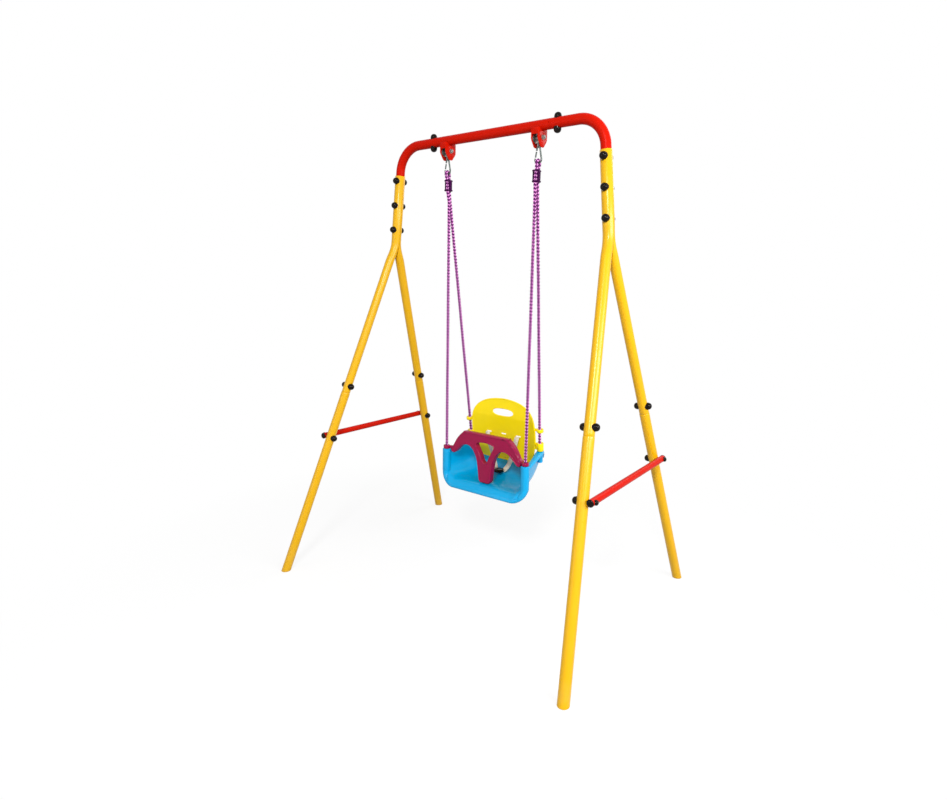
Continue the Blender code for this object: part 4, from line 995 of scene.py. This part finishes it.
class SWING_OT_top_bar(Operator):
    """Make the red top bar: a centre tube and two bent elbow tubes"""
    bl_idname = "swing.top_bar"
    bl_label = "Top bar"

    def execute(self, context):
        radius = sizes().bar_radius
        centre = [(-BAR_SEAM, 0, BAR_HEIGHT), (BAR_SEAM, 0, BAR_HEIGHT)]
        route, radii = rounded_ends(centre, radius, 0.0008)
        finish_piece(tube("bar_centre_tube", route, radii, "tube_red", 48), "tube_red", "red_paint", "frame",
                     "top_bar_centre")
        for word, side in SIDES.items():
            turn = math.pi / 2 - POST_LEAN
            bend_start = Vector((side * (CORNER_HALF - BEND_RADIUS * math.tan(turn / 2)), 0.0, BAR_HEIGHT))
            points = [Vector((side * (BAR_SEAM + 0.0006), 0.0, BAR_HEIGHT)), bend_start]
            for index in range(1, 25):
                angle = turn * index / 24
                points.append(bend_start + Vector((side * BEND_RADIUS * math.sin(angle), 0.0,
                                                   -BEND_RADIUS * (1 - math.cos(angle)))))
            points.append(post_point(side, POST_END_HEIGHT))
            route, radii = rounded_ends(points, radius, 0.0008)
            elbow = tube("elbow_tube_" + word, route, radii, "tube_red", 48)
            finish_piece(elbow, "tube_red", "red_paint", "frame", "top_elbow_" + word)
        return {"FINISHED"}


class SWING_OT_legs(Operator):
    """Make the yellow legs: clamp shells that run into round tubes, lower tubes and foot plugs"""
    bl_idname = "swing.legs"
    bl_label = "Legs"

    ARC_POINTS, FLAT_POINTS = 32, 16

    def arc_angles(self):
        """Angles in degrees of the outer half of every ring, so that half rings and full rings match."""
        return [2 + 176 * i / (self.ARC_POINTS - 1) for i in range(self.ARC_POINTS)]

    def half_ring(self, side, end, radius, centre, down):
        """A half round ring round a post, with its flat on the seam between the two shells."""
        across = square_to(side * X_AXIS, down)
        points = [(radius * math.cos(math.radians(a)), radius * math.sin(math.radians(a)))
                  for a in self.arc_angles()]
        points += [(-0.97 * radius + 1.94 * radius * (i + 1) / (self.FLAT_POINTS + 1), CLAMP_SEAM)
                   for i in range(self.FLAT_POINTS)]
        return [centre + x * across + max(y, CLAMP_SEAM) * end * Y_AXIS for x, y in points]

    def full_ring(self, side, end, radius, centre, down):
        """A round ring with the same number of points as a half ring."""
        across, outward = square_to(side * X_AXIS, down), square_to(end * Y_AXIS, down)
        angles = self.arc_angles() + [182 + 176 * (i + 0.5) / self.FLAT_POINTS
                                      for i in range(self.FLAT_POINTS)]
        return [centre + radius * (math.cos(math.radians(a)) * across + math.sin(math.radians(a)) * outward)
                for a in angles]

    def on_ground(self, ring, down, height):
        """A ring slid along its tube to a level."""
        return [p + down * ((height - p.z) / down.z) for p in ring]

    def upper_tube(self, tag, side, end):
        """Half a shell on the post, a round tube on the leg, and a soft change between the two."""
        props = sizes()
        down_post, down_leg = post_direction(side), leg_direction(side, end)
        shell_end, knee_height = POST_END_HEIGHT + 0.016, KNEE.z - 0.012
        rings = [self.half_ring(side, end, radius, post_point(side, height), down_post)
                 for radius, height in ((props.clamp_radius - 0.0006, CLAMP_TOP),
                                        (props.clamp_radius, CLAMP_TOP - 0.0008),
                                        (props.clamp_radius, shell_end))]
        steps = 12
        for step in range(1, steps):
            share = step / steps
            height = shell_end + (knee_height - shell_end) * share
            down = down_post.lerp(down_leg, ease(share)).normalized()
            shell = self.half_ring(side, end, props.clamp_radius, post_point(side, height), down_post)
            round_tube = self.full_ring(side, end, props.upper_leg_radius, leg_point(side, end, height), down)
            ring = [a.lerp(b, ease(share)) for a, b in zip(shell, round_tube)]
            rings.append([Vector((p.x, end * max(end * p.y, CLAMP_SEAM), p.z)) for p in ring])
        seam = leg_point(side, end, LEG_SEAM_HEIGHT)
        for centre in (leg_point(side, end, knee_height), leg_point(side, end, knee_height - 0.030),
                       seam - 0.0080 * down_leg, seam - 0.0010 * down_leg):
            rings.append(self.full_ring(side, end, props.upper_leg_radius, centre, down_leg))
        rings.append(self.full_ring(side, end, props.upper_leg_radius - 0.0007, seam, down_leg))
        finish_piece(soften(loft("upper_leg_tube_" + tag, rings)), "leg_yellow", "yellow_paint", "frame",
                     "upper_leg_" + tag)

    def lower_tube(self, tag, side, end):
        """A round tube from the seam to the foot plug, and the plug's flange on the ground."""
        radius, down = sizes().lower_leg_radius, leg_direction(side, end)
        seam, foot = leg_point(side, end, LEG_SEAM_HEIGHT), leg_point(side, end, PLUG_FLANGE)
        start = seam + 0.0003 * down
        rings = [self.full_ring(side, end, radius - less, start + further * down, down)
                 for less, further in ((0.0012, 0.0), (0.0004, 0.0006), (0.0, 0.0020), (0.0, 0.0100))]
        last = self.full_ring(side, end, radius, foot - 0.03 * down, down)
        rings += [last, self.on_ground(last, down, PLUG_FLANGE)]
        finish_piece(soften(loft("lower_leg_tube_" + tag, rings)), "leg_yellow", "yellow_paint", "frame",
                     "lower_leg_" + tag)

        rings = [self.on_ground(last, down, height) for height in (PLUG_FLANGE - 0.0003, 0.0006, 0.0)]
        middle = sum(rings[-1], Vector()) / len(rings[-1])
        rings[-1] = [middle + (p - middle) * 0.965 for p in rings[-1]]
        finish_piece(soften(loft("foot_plug_ring_" + tag, rings)), "plug_yellow", "plug_yellow", "frame",
                     "foot_plug_" + tag)

    def execute(self, context):
        for word, side in SIDES.items():
            for place, end in ENDS.items():
                self.upper_tube(f"{place}_{word}", side, end)
                self.lower_tube(f"{place}_{word}", side, end)
        return {"FINISHED"}


class SWING_OT_crossbars(Operator):
    """Make the red cross bars and the black domed plugs in their ends"""
    bl_idname = "swing.crossbars"
    bl_label = "Cross bars"

    def execute(self, context):
        props = sizes()
        plugs = []
        for word, side in SIDES.items():
            ends = {}
            for place, end in ENDS.items():
                axis = leg_bolt_axis(side, end)
                at = leg_point(side, end, CROSSBAR_HEIGHT) + CROSSBAR_OFFSET * axis
                ends[place] = at + end * CROSSBAR_OVERHANG * Y_AXIS
                brim, dome = props.crossbar_radius + 0.0006, BAR_PLUG_DOME
                profile = [(0.0, -0.006), (BAR_PLUG_STEM, -0.006), (BAR_PLUG_STEM, 0.0002),
                           (brim - 0.0004, 0.0003), (brim, 0.0008), (brim, 0.30 * dome)]
                profile += arc_points((0.0, 0.34 * dome), (0.97 * brim, 0.66 * dome), 10, 80, 7)
                profile.append((0.0, dome))
                outward = matrix_along(ends[place], end * Y_AXIS, X_AXIS)
                plugs.append(lathe(f"bar_plug_{place}_{word}", profile, outward, 36))
            route, radii = rounded_ends([ends["front"], ends["rear"]], props.crossbar_radius, 0.0005)
            crossbar = tube("crossbar_tube_" + word, route, radii, "tube_red", 40)
            finish_piece(crossbar, "tube_red", "red_paint", "frame", "crossbar_" + word)
        item = soften(join_meshes("crossbar_end_plugs", plugs))
        finish_piece(item, "cap_black", "black_plastic", "frame",
                     *[f"crossbar_plug_{place}_{word}" for place in ENDS for word in SIDES])
        return {"FINISHED"}


class SWING_OT_bolt_caps(Operator):
    """Set a domed cap at both ends of every bolt of the frame"""
    bl_idname = "swing.bolt_caps"
    bl_label = "Bolt caps"

    def execute(self, context):
        props = sizes()
        caps, nodes = [], []

        def add(centre, axis, radius, scale=1.0, height=1.0):
            caps.append((Vector(centre) + radius * Vector(axis), Vector(axis), (scale, scale, height)))

        for word, side in SIDES.items():
            at = Vector((side * BAR_BOLT, 0.0, BAR_HEIGHT))
            for axis in (Z_AXIS, -Z_AXIS):
                add(at, axis, props.bar_radius)
            nodes.append("bar_bolt_" + word)
            for index, height in enumerate(CLAMP_BOLTS, 1):
                for axis in (Y_AXIS, -Y_AXIS):
                    add(post_point(side, height), axis, props.clamp_radius)
                nodes.append(f"clamp_bolt_{word}_{index}")
            for place, end in ENDS.items():
                axis = leg_bolt_axis(side, end)
                for sign in (1, -1):
                    add(leg_point(side, end, LEG_BOLT_HEIGHT), sign * axis, props.upper_leg_radius)
                at = leg_point(side, end, CROSSBAR_HEIGHT)
                add(at, -axis, props.lower_leg_radius)
                add(at + CROSSBAR_OFFSET * axis, axis, props.crossbar_radius, CROSSBAR_CAP_WIDTH,
                    CROSSBAR_CAP_HEIGHT)
                nodes += [f"leg_bolt_{place}_{word}", f"crossbar_bolt_{place}_{word}"]

        mesh = bpy.data.meshes.new("frame_bolt_caps")
        mesh.from_pydata([tuple(at) for at, _, _ in caps], [], [])
        for name, column in (("facing", 1), ("stretch", 2)):
            values = mesh.attributes.new(name, "FLOAT_VECTOR", "POINT")
            values.data.foreach_set("vector", [c for cap in caps for c in cap[column]])
        radius, height = props.cap_radius, props.cap_height
        dome = [(0.0, -0.5 * props.bar_radius), (0.98 * radius, -0.5 * props.bar_radius), (radius, 0.0006),
                (radius, 0.24 * height), (0.955 * radius, 0.30 * height)]
        dome += arc_points((0.0, 0.32 * height), (0.95 * radius, 0.68 * height), 9, 81, 8)
        dome.append((0.0, height))
        shape = soften(lathe("cap_shape", dome, Matrix.Identity(4), 28), 50)
        item = grow(link_object("frame_bolt_caps", mesh), "scatter", shape=shape,
                    material=MATERIALS["cap_black"])
        bpy.data.objects.remove(shape, do_unlink=True)
        finish_piece(item, "cap_black", "black_plastic", "frame", *nodes)
        return {"FINISHED"}


class SWING_OT_hangers(Operator):
    """Make the brackets, pivot bolts, steel eyes, snap hooks and their sprung gates"""
    bl_idname = "swing.hangers"
    bl_label = "Hangers"

    def execute(self, context):
        for word, side in SIDES.items():
            for name, node, edge, material, slot, body in (
                    ("bracket_plate_", "hanger_bracket_", 0.0006, "tube_red", "red_paint", "frame"),
                    ("pivot_", "pivot_bolt_", 0.0003, "steel_grey", "zinc_steel", "frame"),
                    ("eye_", "hanger_eye_", 0.0003, "steel_grey", "zinc_steel", "swing")):
                finish_piece(smooth_copy(name + word, node + word, edge), material, slot, body, node + word)
            self.hook(word, side)
        return {"FINISHED"}

    def gate_side(self, height):
        """How far the wire's straight gate side is from the hook's middle at a height."""
        share = (HOOK_TOP_HEIGHT - height) / (HOOK_TOP_HEIGHT - HOOK_LOW_HEIGHT)
        return -(HOOK_TOP_BEND + (HOOK_LOW_BEND - HOOK_TOP_BEND) * share)

    def hook(self, word, side):
        """The bent wire of one hook, and its gate with the rivet."""
        def place(x, z):
            return Vector((side * HANGER_X + x, 0.0, z))

        nose = GATE_NOSE_HEIGHT - 0.0030
        path = [place(self.gate_side(GATE_HINGE_HEIGHT), GATE_HINGE_HEIGHT + 0.0035)]
        path += [place(*point)
                 for point in arc_points((0.0, HOOK_TOP_HEIGHT), (HOOK_TOP_BEND,) * 2, 180, 0, 16)]
        path += [place(*point)
                 for point in arc_points((0.0, HOOK_LOW_HEIGHT), (HOOK_LOW_BEND,) * 2, 0, -180, 20)]
        path += [place(self.gate_side(nose), nose)]
        route, radii = rounded_ends(path, WIRE_RADIUS, 0.0006)
        hook = tube("hook_wire_" + word, route, radii, "hook_steel", 20)
        finish_piece(hook, "hook_steel", "zinc_steel", "swing", "snap_hook_" + word)
        top = place(self.gate_side(GATE_HINGE_HEIGHT), GATE_HINGE_HEIGHT + 0.0006)
        low = place(self.gate_side(GATE_NOSE_HEIGHT), GATE_NOSE_HEIGHT)
        route, radii = rounded_ends([top, low], 0.85 * WIRE_RADIUS, 0.0004)
        gate = tube("gate_wire_" + word, route, radii, "hook_steel", 20)
        half = [(0.0, RIVET_REACH), (RIVET_RADIUS - 0.0002, RIVET_REACH), (RIVET_RADIUS, RIVET_REACH - 0.0004)]
        pin = place(self.gate_side(GATE_HINGE_HEIGHT), GATE_HINGE_HEIGHT - 0.0014)
        rivet = lathe("gate_rivet_" + word, [(radius, -reach) for radius, reach in half] + half[::-1],
                      matrix_along(pin, Y_AXIS, X_AXIS), 20)
        gate = soften(join_meshes("hook_gate_wire_" + word, [gate, rivet]))
        finish_piece(gate, "hook_steel", "zinc_steel", "gate_" + word, "hook_gate_" + word)


class SWING_OT_ropes(Operator):
    """Braid the two ropes over their hooks and thread them through the adjusters"""
    bl_idname = "swing.ropes"
    bl_label = "Ropes"

    def route(self, side):
        """The rope's way from the front post over the hook's floor to the rear boss."""
        front, rear = ADJUSTER.x - STRAND_SHIFT, ADJUSTER.x + STRAND_SHIFT
        throat, neck = ADJUSTER.z - 0.014, ADJUSTER.z + 0.014
        points = [(FRONT_ROPE_X, 0.0, POST_TOP - ROPE_END_DEPTH), (FRONT_ROPE_X, 0.0, 1.480),
                  (FRONT_ROPE_X + 0.0010, -0.0030, 1.4960), (front, -ROPE_SPREAD, STRAND_TOP),
                  (front, -ROPE_SPREAD, throat), (rear, -ROPE_SPREAD, neck),
                  (HANGER_X - 0.001, -ROPE_SPREAD - 0.0006, neck + 0.0125)]
        bend = WIRE_RADIUS + sizes().rope_radius + 0.0003
        hook_floor = HOOK_LOW_HEIGHT - HOOK_LOW_BEND
        for index in range(13):
            angle = math.pi * index / 12
            points.append((HANGER_X, -bend * math.cos(angle), hook_floor + bend * math.sin(angle)))
        points += [(HANGER_X - 0.001, ROPE_SPREAD + 0.0006, neck + 0.0125), (front, ROPE_SPREAD, neck),
                   (rear, ROPE_SPREAD, throat)]
        points = [Vector((side * x, y, z)) for x, y, z in points]
        return points + [rear_rope_point(side, height) for height in (STRAND_TOP, 1.0, REAR_ROPE_LOW.z)]

    def execute(self, context):
        props = sizes()
        for word, side in SIDES.items():
            route = self.route(side)
            braid = grow(path_object("braid_" + word, route), "braid", strands=props.braid_strands,
                         pitch=props.braid_pitch, radius=props.rope_radius,
                         strand_radius=STRAND_SHARE * props.rope_radius,
                         step=props.braid_pitch / (8 * props.braid_strands),
                         material=MATERIALS["rope_purple"])
            core = tube("rope_core_" + word, route, CORE_SHARE * props.rope_radius, "rope_purple", 12)
            rope = join_meshes("braided_rope_" + word, [braid, core])
            rope.data.shade_smooth()
            finish_piece(rope, "rope_purple", "purple_rope", "swing", "rope_" + word)
            pieces = [smooth_copy("adjuster_" + word, "rope_adjuster_" + word, 0.0020)]
            for number in range(6):
                reach, level = (-1) ** number * BUMP_REACH, BUMP_SPACING * (number // 2 - 1)
                at = Vector((side * ADJUSTER.x + reach, ADJUSTER.y, ADJUSTER.z + level))
                pieces.append(pebble(f"rail_bump_{word}_{number}", at, BUMP_SIZE))
            item = soften(join_meshes("rope_slider_" + word, pieces))
            finish_piece(item, "adjuster_purple", "dark_purple_plastic", "swing", "rope_adjuster_" + word)
        return {"FINISHED"}


class SWING_OT_tub(Operator):
    """Mould the blue tub: floor, sides, arm rests, front bead, rope posts and rear bosses"""
    bl_idname = "swing.tub"
    bl_label = "Tub"

    # Each row across the tub: floor's place, wall's place, floor's height, half width, rim's height, flange
    ROWS = [(-0.0310, 0.0000, 0.3590, 0.1855, 0.4900, 0.0160),
            (-0.0240, 0.0060, 0.3720, 0.1855, 0.4915, 0.0160),
            (-0.0080, 0.0140, 0.3835, 0.1850, 0.4935, 0.0165),
            (0.0150, 0.0260, FLOOR_HEIGHT, 0.1835, 0.4965, 0.0175),
            (0.0550, 0.0600, 0.3900, 0.1760, 0.5050, 0.0210),
            (0.1000, 0.1000, 0.3980, 0.1660, 0.5150, 0.0260),
            (0.1400, 0.1380, 0.4120, 0.1560, 0.5225, 0.0300),
            (0.1680, 0.1640, 0.4300, 0.1500, 0.5200, 0.0280),
            (0.1880, 0.1800, 0.4520, 0.1470, 0.4980, 0.0200)]

    def section(self, floor_y, wall_y, floor, half_width, rim, flange):
        """The right half of a row across the tub, from the middle of the floor to the arm rest's edge."""
        corner = min(RIM_CORNER, (rim - floor) * 0.75)
        flat = [(x, floor) for x in (0.0, 0.2 * half_width, 0.42 * half_width, half_width - corner)]
        curved = arc_points((half_width - corner, floor + corner), (corner, corner), -81, 0, 9)
        wall = [(half_width, 0.6 * (floor + corner) + 0.4 * rim),
                (half_width, 0.25 * (floor + corner) + 0.75 * rim),
                (half_width, rim - 0.004), (half_width + 0.0012, rim - 0.0012), (half_width + 0.004, rim)]
        edge = [(half_width + flange - 0.004, rim), (half_width + flange - 0.0012, rim - 0.0012),
                (half_width + flange, rim - 0.004), (half_width + flange, rim - 0.0100)]
        points = []
        for x, z in flat + curved + wall + edge:
            points.append(Vector((x, floor_y + (wall_y - floor_y) * ease((z - floor) / corner), z)))
        return points

    def shell(self):
        """Floor, sides and arm rests as one sheet with a wall."""
        rows = []
        for row in spline_through([Vector(row) for row in self.ROWS], 6):
            half = self.section(*row)
            rows.append([Vector((-p.x, p.y, p.z)) for p in reversed(half[1:])] + half)
        shell = walled_sheet("tub_shell", rows, sizes().seat_wall)
        bevel_edges(shell, 0.0014, 3, 60)
        return plain_mesh(shell)

    def front_bead(self):
        """The round bead under the front edge, thick where it rises into the two posts."""
        half = [(FRONT_ROPE_X, 0.0, POST_TOP - 0.0095, 0.97), (FRONT_ROPE_X, 0.0, POST_TOP - 0.0100, 1.0),
                (FRONT_ROPE_X, 0.0, POST_TOP - 0.050, 1.0)]
        steps = 20
        for index in range(steps + 1):
            share = index / steps
            angle = 0.5 * math.pi * share
            half.append((FRONT_ROPE_X - RIM_CORNER + RIM_CORNER * math.cos(angle), -BEAD_REACH * share,
                         RIM_BOTTOM - BEAD_DROP * share + RIM_CORNER * (1 - math.sin(angle)),
                         1.0 + (BEAD_RADIUS / POST_RADIUS - 1.0) * share ** 0.7))
        route = half + [(-x, y, z, scale) for x, y, z, scale in reversed(half)]
        return tube("front_bead", [Vector(p[:3]) for p in route], [POST_RADIUS * p[3] for p in route],
                    "tub_blue", 32)

    def execute(self, context):
        pieces = [self.shell(), self.front_bead()]
        for word, side in SIDES.items():
            at = Matrix.Translation((side * FRONT_ROPE_X, 0.0, POST_TOP))
            collar = [(POST_RADIUS, -0.012), (POST_RADIUS, -0.0022), (POST_RADIUS - 0.0006, -0.0008),
                      (POST_RADIUS - 0.0018, 0.0), (ROPE_BORE + 0.0015, 0.0), (ROPE_BORE + 0.0004, -0.0006),
                      (ROPE_BORE, -0.0016), (ROPE_BORE, -0.012)]
            pieces.append(lathe("post_collar_" + word, collar, at, 40))
            top, low = rear_rope_point(side, BOSS_HIGH), rear_rope_point(side, BOSS_LOW)
            length = (top - low).length
            boss = [(BOSS_RADIUS - 0.0020, 0.0), (BOSS_RADIUS, length - 0.002),
                    (BOSS_RADIUS - 0.0006, length - 0.0006), (BOSS_RADIUS - 0.0014, length),
                    (ROPE_BORE + 0.0014, length), (ROPE_BORE + 0.0004, length - 0.0008),
                    (ROPE_BORE, length - 0.002), (ROPE_BORE, 0.0)]
            pieces.append(lathe("rear_boss_" + word, boss, matrix_along(low, top - low, X_AXIS), 32))
        item = soften(join_meshes("seat_tub_moulding", pieces), 45)
        finish_piece(item, "tub_blue", "blue_plastic", "swing", "seat_tub")
        return {"FINISHED"}


class SWING_OT_guard(Operator):
    """Mould the magenta guard bar with its window and the rings that slide on the front ropes"""
    bl_idname = "swing.guard"
    bl_label = "Guard bar"

    HALF = [(0.0920, 0.5880), (0.1080, 0.5840), (0.1210, 0.5750), (0.1370, 0.5580), (0.1500, 0.5380),
            (0.1600, 0.5200), (0.1690, 0.5110), (0.1700, 0.4950), (0.1600, 0.4880), (0.1480, 0.4930),
            (0.1310, 0.5100), (0.1160, 0.5240), (0.0985, 0.5320), (0.0790, 0.5315), (0.0630, 0.5220),
            (0.0490, 0.5020), (0.0390, 0.4780), (0.0335, 0.4440), (0.0290, 0.4080), (0.0268, 0.3985),
            (0.0235, 0.3925), (0.0170, 0.3900), (0.0080, 0.3900), (0.0, 0.3900)]
    WINDOW = [(0.0, 0.5550), (0.0310, 0.5515), (0.0430, 0.5430), (0.0345, 0.5260), (0.0215, 0.5020),
              (0.0125, 0.4800), (0.0, 0.4705)]

    def execute(self, context):
        pieces = [flat_moulding("guard_plate", whole_outline(self.HALF, 4), [whole_outline(self.WINDOW, 4)],
                                GUARD_DEPTH, 0.0045, upright(GUARD_PLANE))]
        front = GUARD_PLANE - GUARD_DEPTH / 2
        for name, half, inset in (("guard_rim", self.HALF, 0.0044), ("window_rim", self.WINDOW, -0.0034)):
            loop = [Vector((p.x, front + 0.0010, p.y)) for p in inset_loop(whole_outline(half, 4), inset)]
            pieces.append(tube(name, loop + loop[:2], 0.0033, "guard_magenta", 14))
        for word, side in SIDES.items():
            at = Matrix.Translation((side * FRONT_ROPE_X, 0.0, 0.0))
            profile = ring_profile(SLIDE_RADIUS, RING_BORE, RING_LOW, RING_HIGH, 0.0010)
            pieces.append(lathe("guard_ring_" + word, profile, at, 40))
            pieces.append(block("guard_arm_" + word, (side * 0.1700, 0.0085, (RING_LOW + RING_HIGH) / 2),
                                GUARD_ARM_SIZE, 0.002))
        item = soften(join_meshes("guard_moulding", pieces), 45)
        finish_piece(item, "guard_magenta", "magenta_plastic", "guard", "guard_bar")
        return {"FINISHED"}


class SWING_OT_backrest(Operator):
    """Mould the yellow backrest with its rim, handle hole, strap slots and sleeves on the rear ropes"""
    bl_idname = "swing.backrest"
    bl_label = "Backrest"

    HALF = [(0.0, 0.7145), (0.0400, 0.7115), (0.0780, 0.7035), (0.1080, 0.6900), (0.1300, 0.6720),
            (0.1440, 0.6490), (0.1505, 0.6240), (0.1530, 0.5900), (0.1530, 0.5580), (0.1480, 0.5300),
            (0.1380, 0.4900), (0.1200, 0.4680), (0.0900, 0.4590), (0.0, 0.4570)]

    def surface(self, x, z):
        """The sheet's place along Y, which follows the rear ropes and bows across."""
        lean = rear_rope_point(1, min(z, 0.640)).y - 0.0030
        return lean - BACK_BOW * (x / BACK_BOW_HALF) ** 2

    def recess(self, x, z):
        """The depth of a shallow round dish low on the backrest."""
        return DISH_DEPTH * ease((DISH_RADIUS - math.hypot(x, z - DISH_HEIGHT)) / 0.006)

    def sheet(self):
        """A bowed sheet with its wall, larger than the outline that is cut from it."""
        columns, rows = 56, 46
        grid = []
        for row in range(rows + 1):
            z = BACK_LOW + BACK_TALL * row / rows
            across = [BACK_HALF * (2 * column / columns - 1) for column in range(columns + 1)]
            grid.append([(x, self.surface(x, z) + self.recess(x, z), z) for x in across])
        return plain_mesh(walled_sheet("backrest_sheet", grid, sizes().back_thickness))

    def handle(self):
        """The rounded oblong hole near the top."""
        angles = [math.radians(92.5 - 5 * i) for i in range(72)]
        widths = [math.copysign(HANDLE_HALF_WIDTH * abs(math.cos(a)) ** 0.72, math.cos(a)) for a in angles]
        heights = [math.copysign(HANDLE_HALF_HEIGHT * abs(math.sin(a)) ** 0.88, math.sin(a)) for a in angles]
        return [Vector((x, HANDLE_HEIGHT + z)) for x, z in zip(widths, heights)]

    def slot(self, centre):
        """The four corners of a strap slot."""
        corners = ((-1, 1), (1, 1), (1, -1), (-1, -1))
        return [Vector((centre + right * SLOT_HALF_WIDTH, SLOT_HEIGHT + up * SLOT_HALF_HEIGHT))
                for right, up in corners]

    def sleeve(self, name, side, low, high, reach):
        """A sleeve on a rear rope and the arm that joins it to the sheet."""
        shift = side * SLEEVE_SHIFT * X_AXIS
        foot, head = rear_rope_point(side, low) + shift, rear_rope_point(side, high) + shift
        profile = ring_profile(SLIDE_RADIUS, SLEEVE_BORE, 0.0, (head - foot).length)
        middle = 0.5 * (foot + head)
        inner = middle.x - side * (0.010 + 0.5 * (reach - 0.012))
        return [lathe(name + "_sleeve", profile, matrix_along(foot, head - foot, X_AXIS), 32),
                block(name + "_arm", (inner, middle.y + 0.001, middle.z),
                      (reach - 0.012, 0.0075, 0.85 * (high - low)), 0.0018)]

    def execute(self, context):
        outline, handle = whole_outline(self.HALF, 4), self.handle()
        slots = [self.slot(centre) for centre in (-STRAP_X, 0.0, STRAP_X)]
        cutter = flat_moulding("backrest_outline", outline, [handle, *slots], 0.12, 0.0, upright(0.14))
        pieces = [boolean(self.sheet(), cutter, "INTERSECT")]
        for name, loop, radius in (("backrest_rim", outline, 0.0034), ("handle_rim", handle, 0.0030)):
            path = [Vector((p.x, self.surface(p.x, p.y) + 0.0022, p.y)) for p in loop]
            pieces.append(tube(name, path + path[:2], radius, "back_yellow", 16))
        for word, side in SIDES.items():
            pieces += self.sleeve("ear_" + word, side, 0.6040, 0.6170, 0.036)
            pieces += self.sleeve("wing_" + word, side, 0.5262, 0.5590, 0.040)
        item = soften(join_meshes("backrest_moulding", pieces), 45)
        finish_piece(item, "back_yellow", "seat_yellow_plastic", "back", "backrest")
        return {"FINISHED"}


class SWING_OT_harness(Operator):
    """Sew the two webbing straps and clip them into the buckle"""
    bl_idname = "swing.harness"
    bl_label = "Harness"

    def strap(self, name, path, width, node):
        """Flat webbing along a path, with its length and width in millimetres as the UV map."""
        fine = spline_through(path, 8)
        bm = bmesh.new()
        layer = bm.loops.layers.uv.new("length")
        half = width / 2
        profile = [(-half, -0.0006), (-half + 0.0008, -0.0010), (half - 0.0008, -0.0010), (half, -0.0006),
                   (half, 0.0006), (half - 0.0008, 0.0010), (-half + 0.0008, 0.0010), (-half, 0.0006)]
        travelled, rings, lengths = 0.0, [], []
        for index, point in enumerate(fine):
            along = (fine[min(index + 1, len(fine) - 1)] - fine[max(index - 1, 0)]).normalized()
            wide = square_to(X_AXIS, along)
            thick = along.cross(wide).normalized()
            if index:
                travelled += (point - fine[index - 1]).length
            rings.append([bm.verts.new(point + x * wide + y * thick) for x, y in profile])
            lengths.append(travelled)
        for k in range(len(rings) - 1):
            for i in range(len(profile)):
                corners = [(k, i), (k, (i + 1) % len(profile)), (k + 1, (i + 1) % len(profile)), (k + 1, i)]
                face = bm.faces.new([rings[ring][column] for ring, column in corners])
                for loop, (ring, column) in zip(face.loops, corners):
                    loop[layer].uv = (1000 * lengths[ring], 1000 * profile[column][0])
        bm.faces.new(rings[0])
        bm.faces.new(rings[-1])
        bmesh.ops.recalc_face_normals(bm, faces=bm.faces)
        finish_piece(soften(from_bmesh(name, bm)), "webbing_cream", "cream_webbing", "back", node)

    def execute(self, context):
        for word, side in SIDES.items():
            path = [(STRAP_X, 0.1270, SLOT_HEIGHT), (STRAP_X, 0.1230, 0.5660), (0.069, 0.1205, 0.5500),
                    (0.060, 0.1230, 0.5150), (0.046, 0.1270, 0.4750), (0.034, 0.1240, 0.4420),
                    (0.022, 0.1150, 0.4230), (0.019, 0.1130, 0.4215)]
            self.strap("webbing_" + word, [Vector((side * x, y, z)) for x, y, z in path], sizes().strap_width,
                       "harness_strap_" + word)
        buckle = block("buckle_shell", BUCKLE_CENTRE, BUCKLE_SIZE, 0.0032)
        finish_piece(soften(buckle), "cap_black", "black_plastic", "back", "harness_buckle")
        return {"FINISHED"}


OPERATORS = (SWING_OT_stage, SWING_OT_top_bar, SWING_OT_legs, SWING_OT_crossbars, SWING_OT_bolt_caps,
             SWING_OT_hangers, SWING_OT_ropes, SWING_OT_tub, SWING_OT_guard, SWING_OT_backrest,
             SWING_OT_harness)


class SWING_PT_panel(Panel):
    """Sizes, colours and pieces of the garden swing"""
    bl_idname = "SWING_PT_panel"
    bl_label = "Garden Swing"
    bl_space_type = "VIEW_3D"
    bl_region_type = "UI"
    bl_category = "Swing"

    def draw(self, context):
        column = self.layout.column(align=True)
        for group in (context.scene.swing_sizes, context.scene.swing_colours):
            for name in group.bl_rna.properties.keys():
                if name not in ("rna_type", "name"):
                    column.prop(group, name)
        for operator in OPERATORS:
            column.operator(operator.bl_idname)


CLASSES = (SwingSizes, SwingColours, *OPERATORS, SWING_PT_panel)


def register():
    for item in CLASSES:
        bpy.utils.register_class(item)
    bpy.types.Scene.swing_sizes = PointerProperty(type=SwingSizes)
    bpy.types.Scene.swing_colours = PointerProperty(type=SwingColours)


def unregister():
    del bpy.types.Scene.swing_colours
    del bpy.types.Scene.swing_sizes
    for item in reversed(CLASSES):
        bpy.utils.unregister_class(item)


def main():
    register()
    make_materials()
    TREES.update(tube=tube_tree(), scatter=scatter_tree(), braid=braid_tree())
    for operator in OPERATORS:
        category, name = operator.bl_idname.split(".")
        getattr(getattr(bpy.ops, category), name)()


if __name__ == "__main__":
    main()
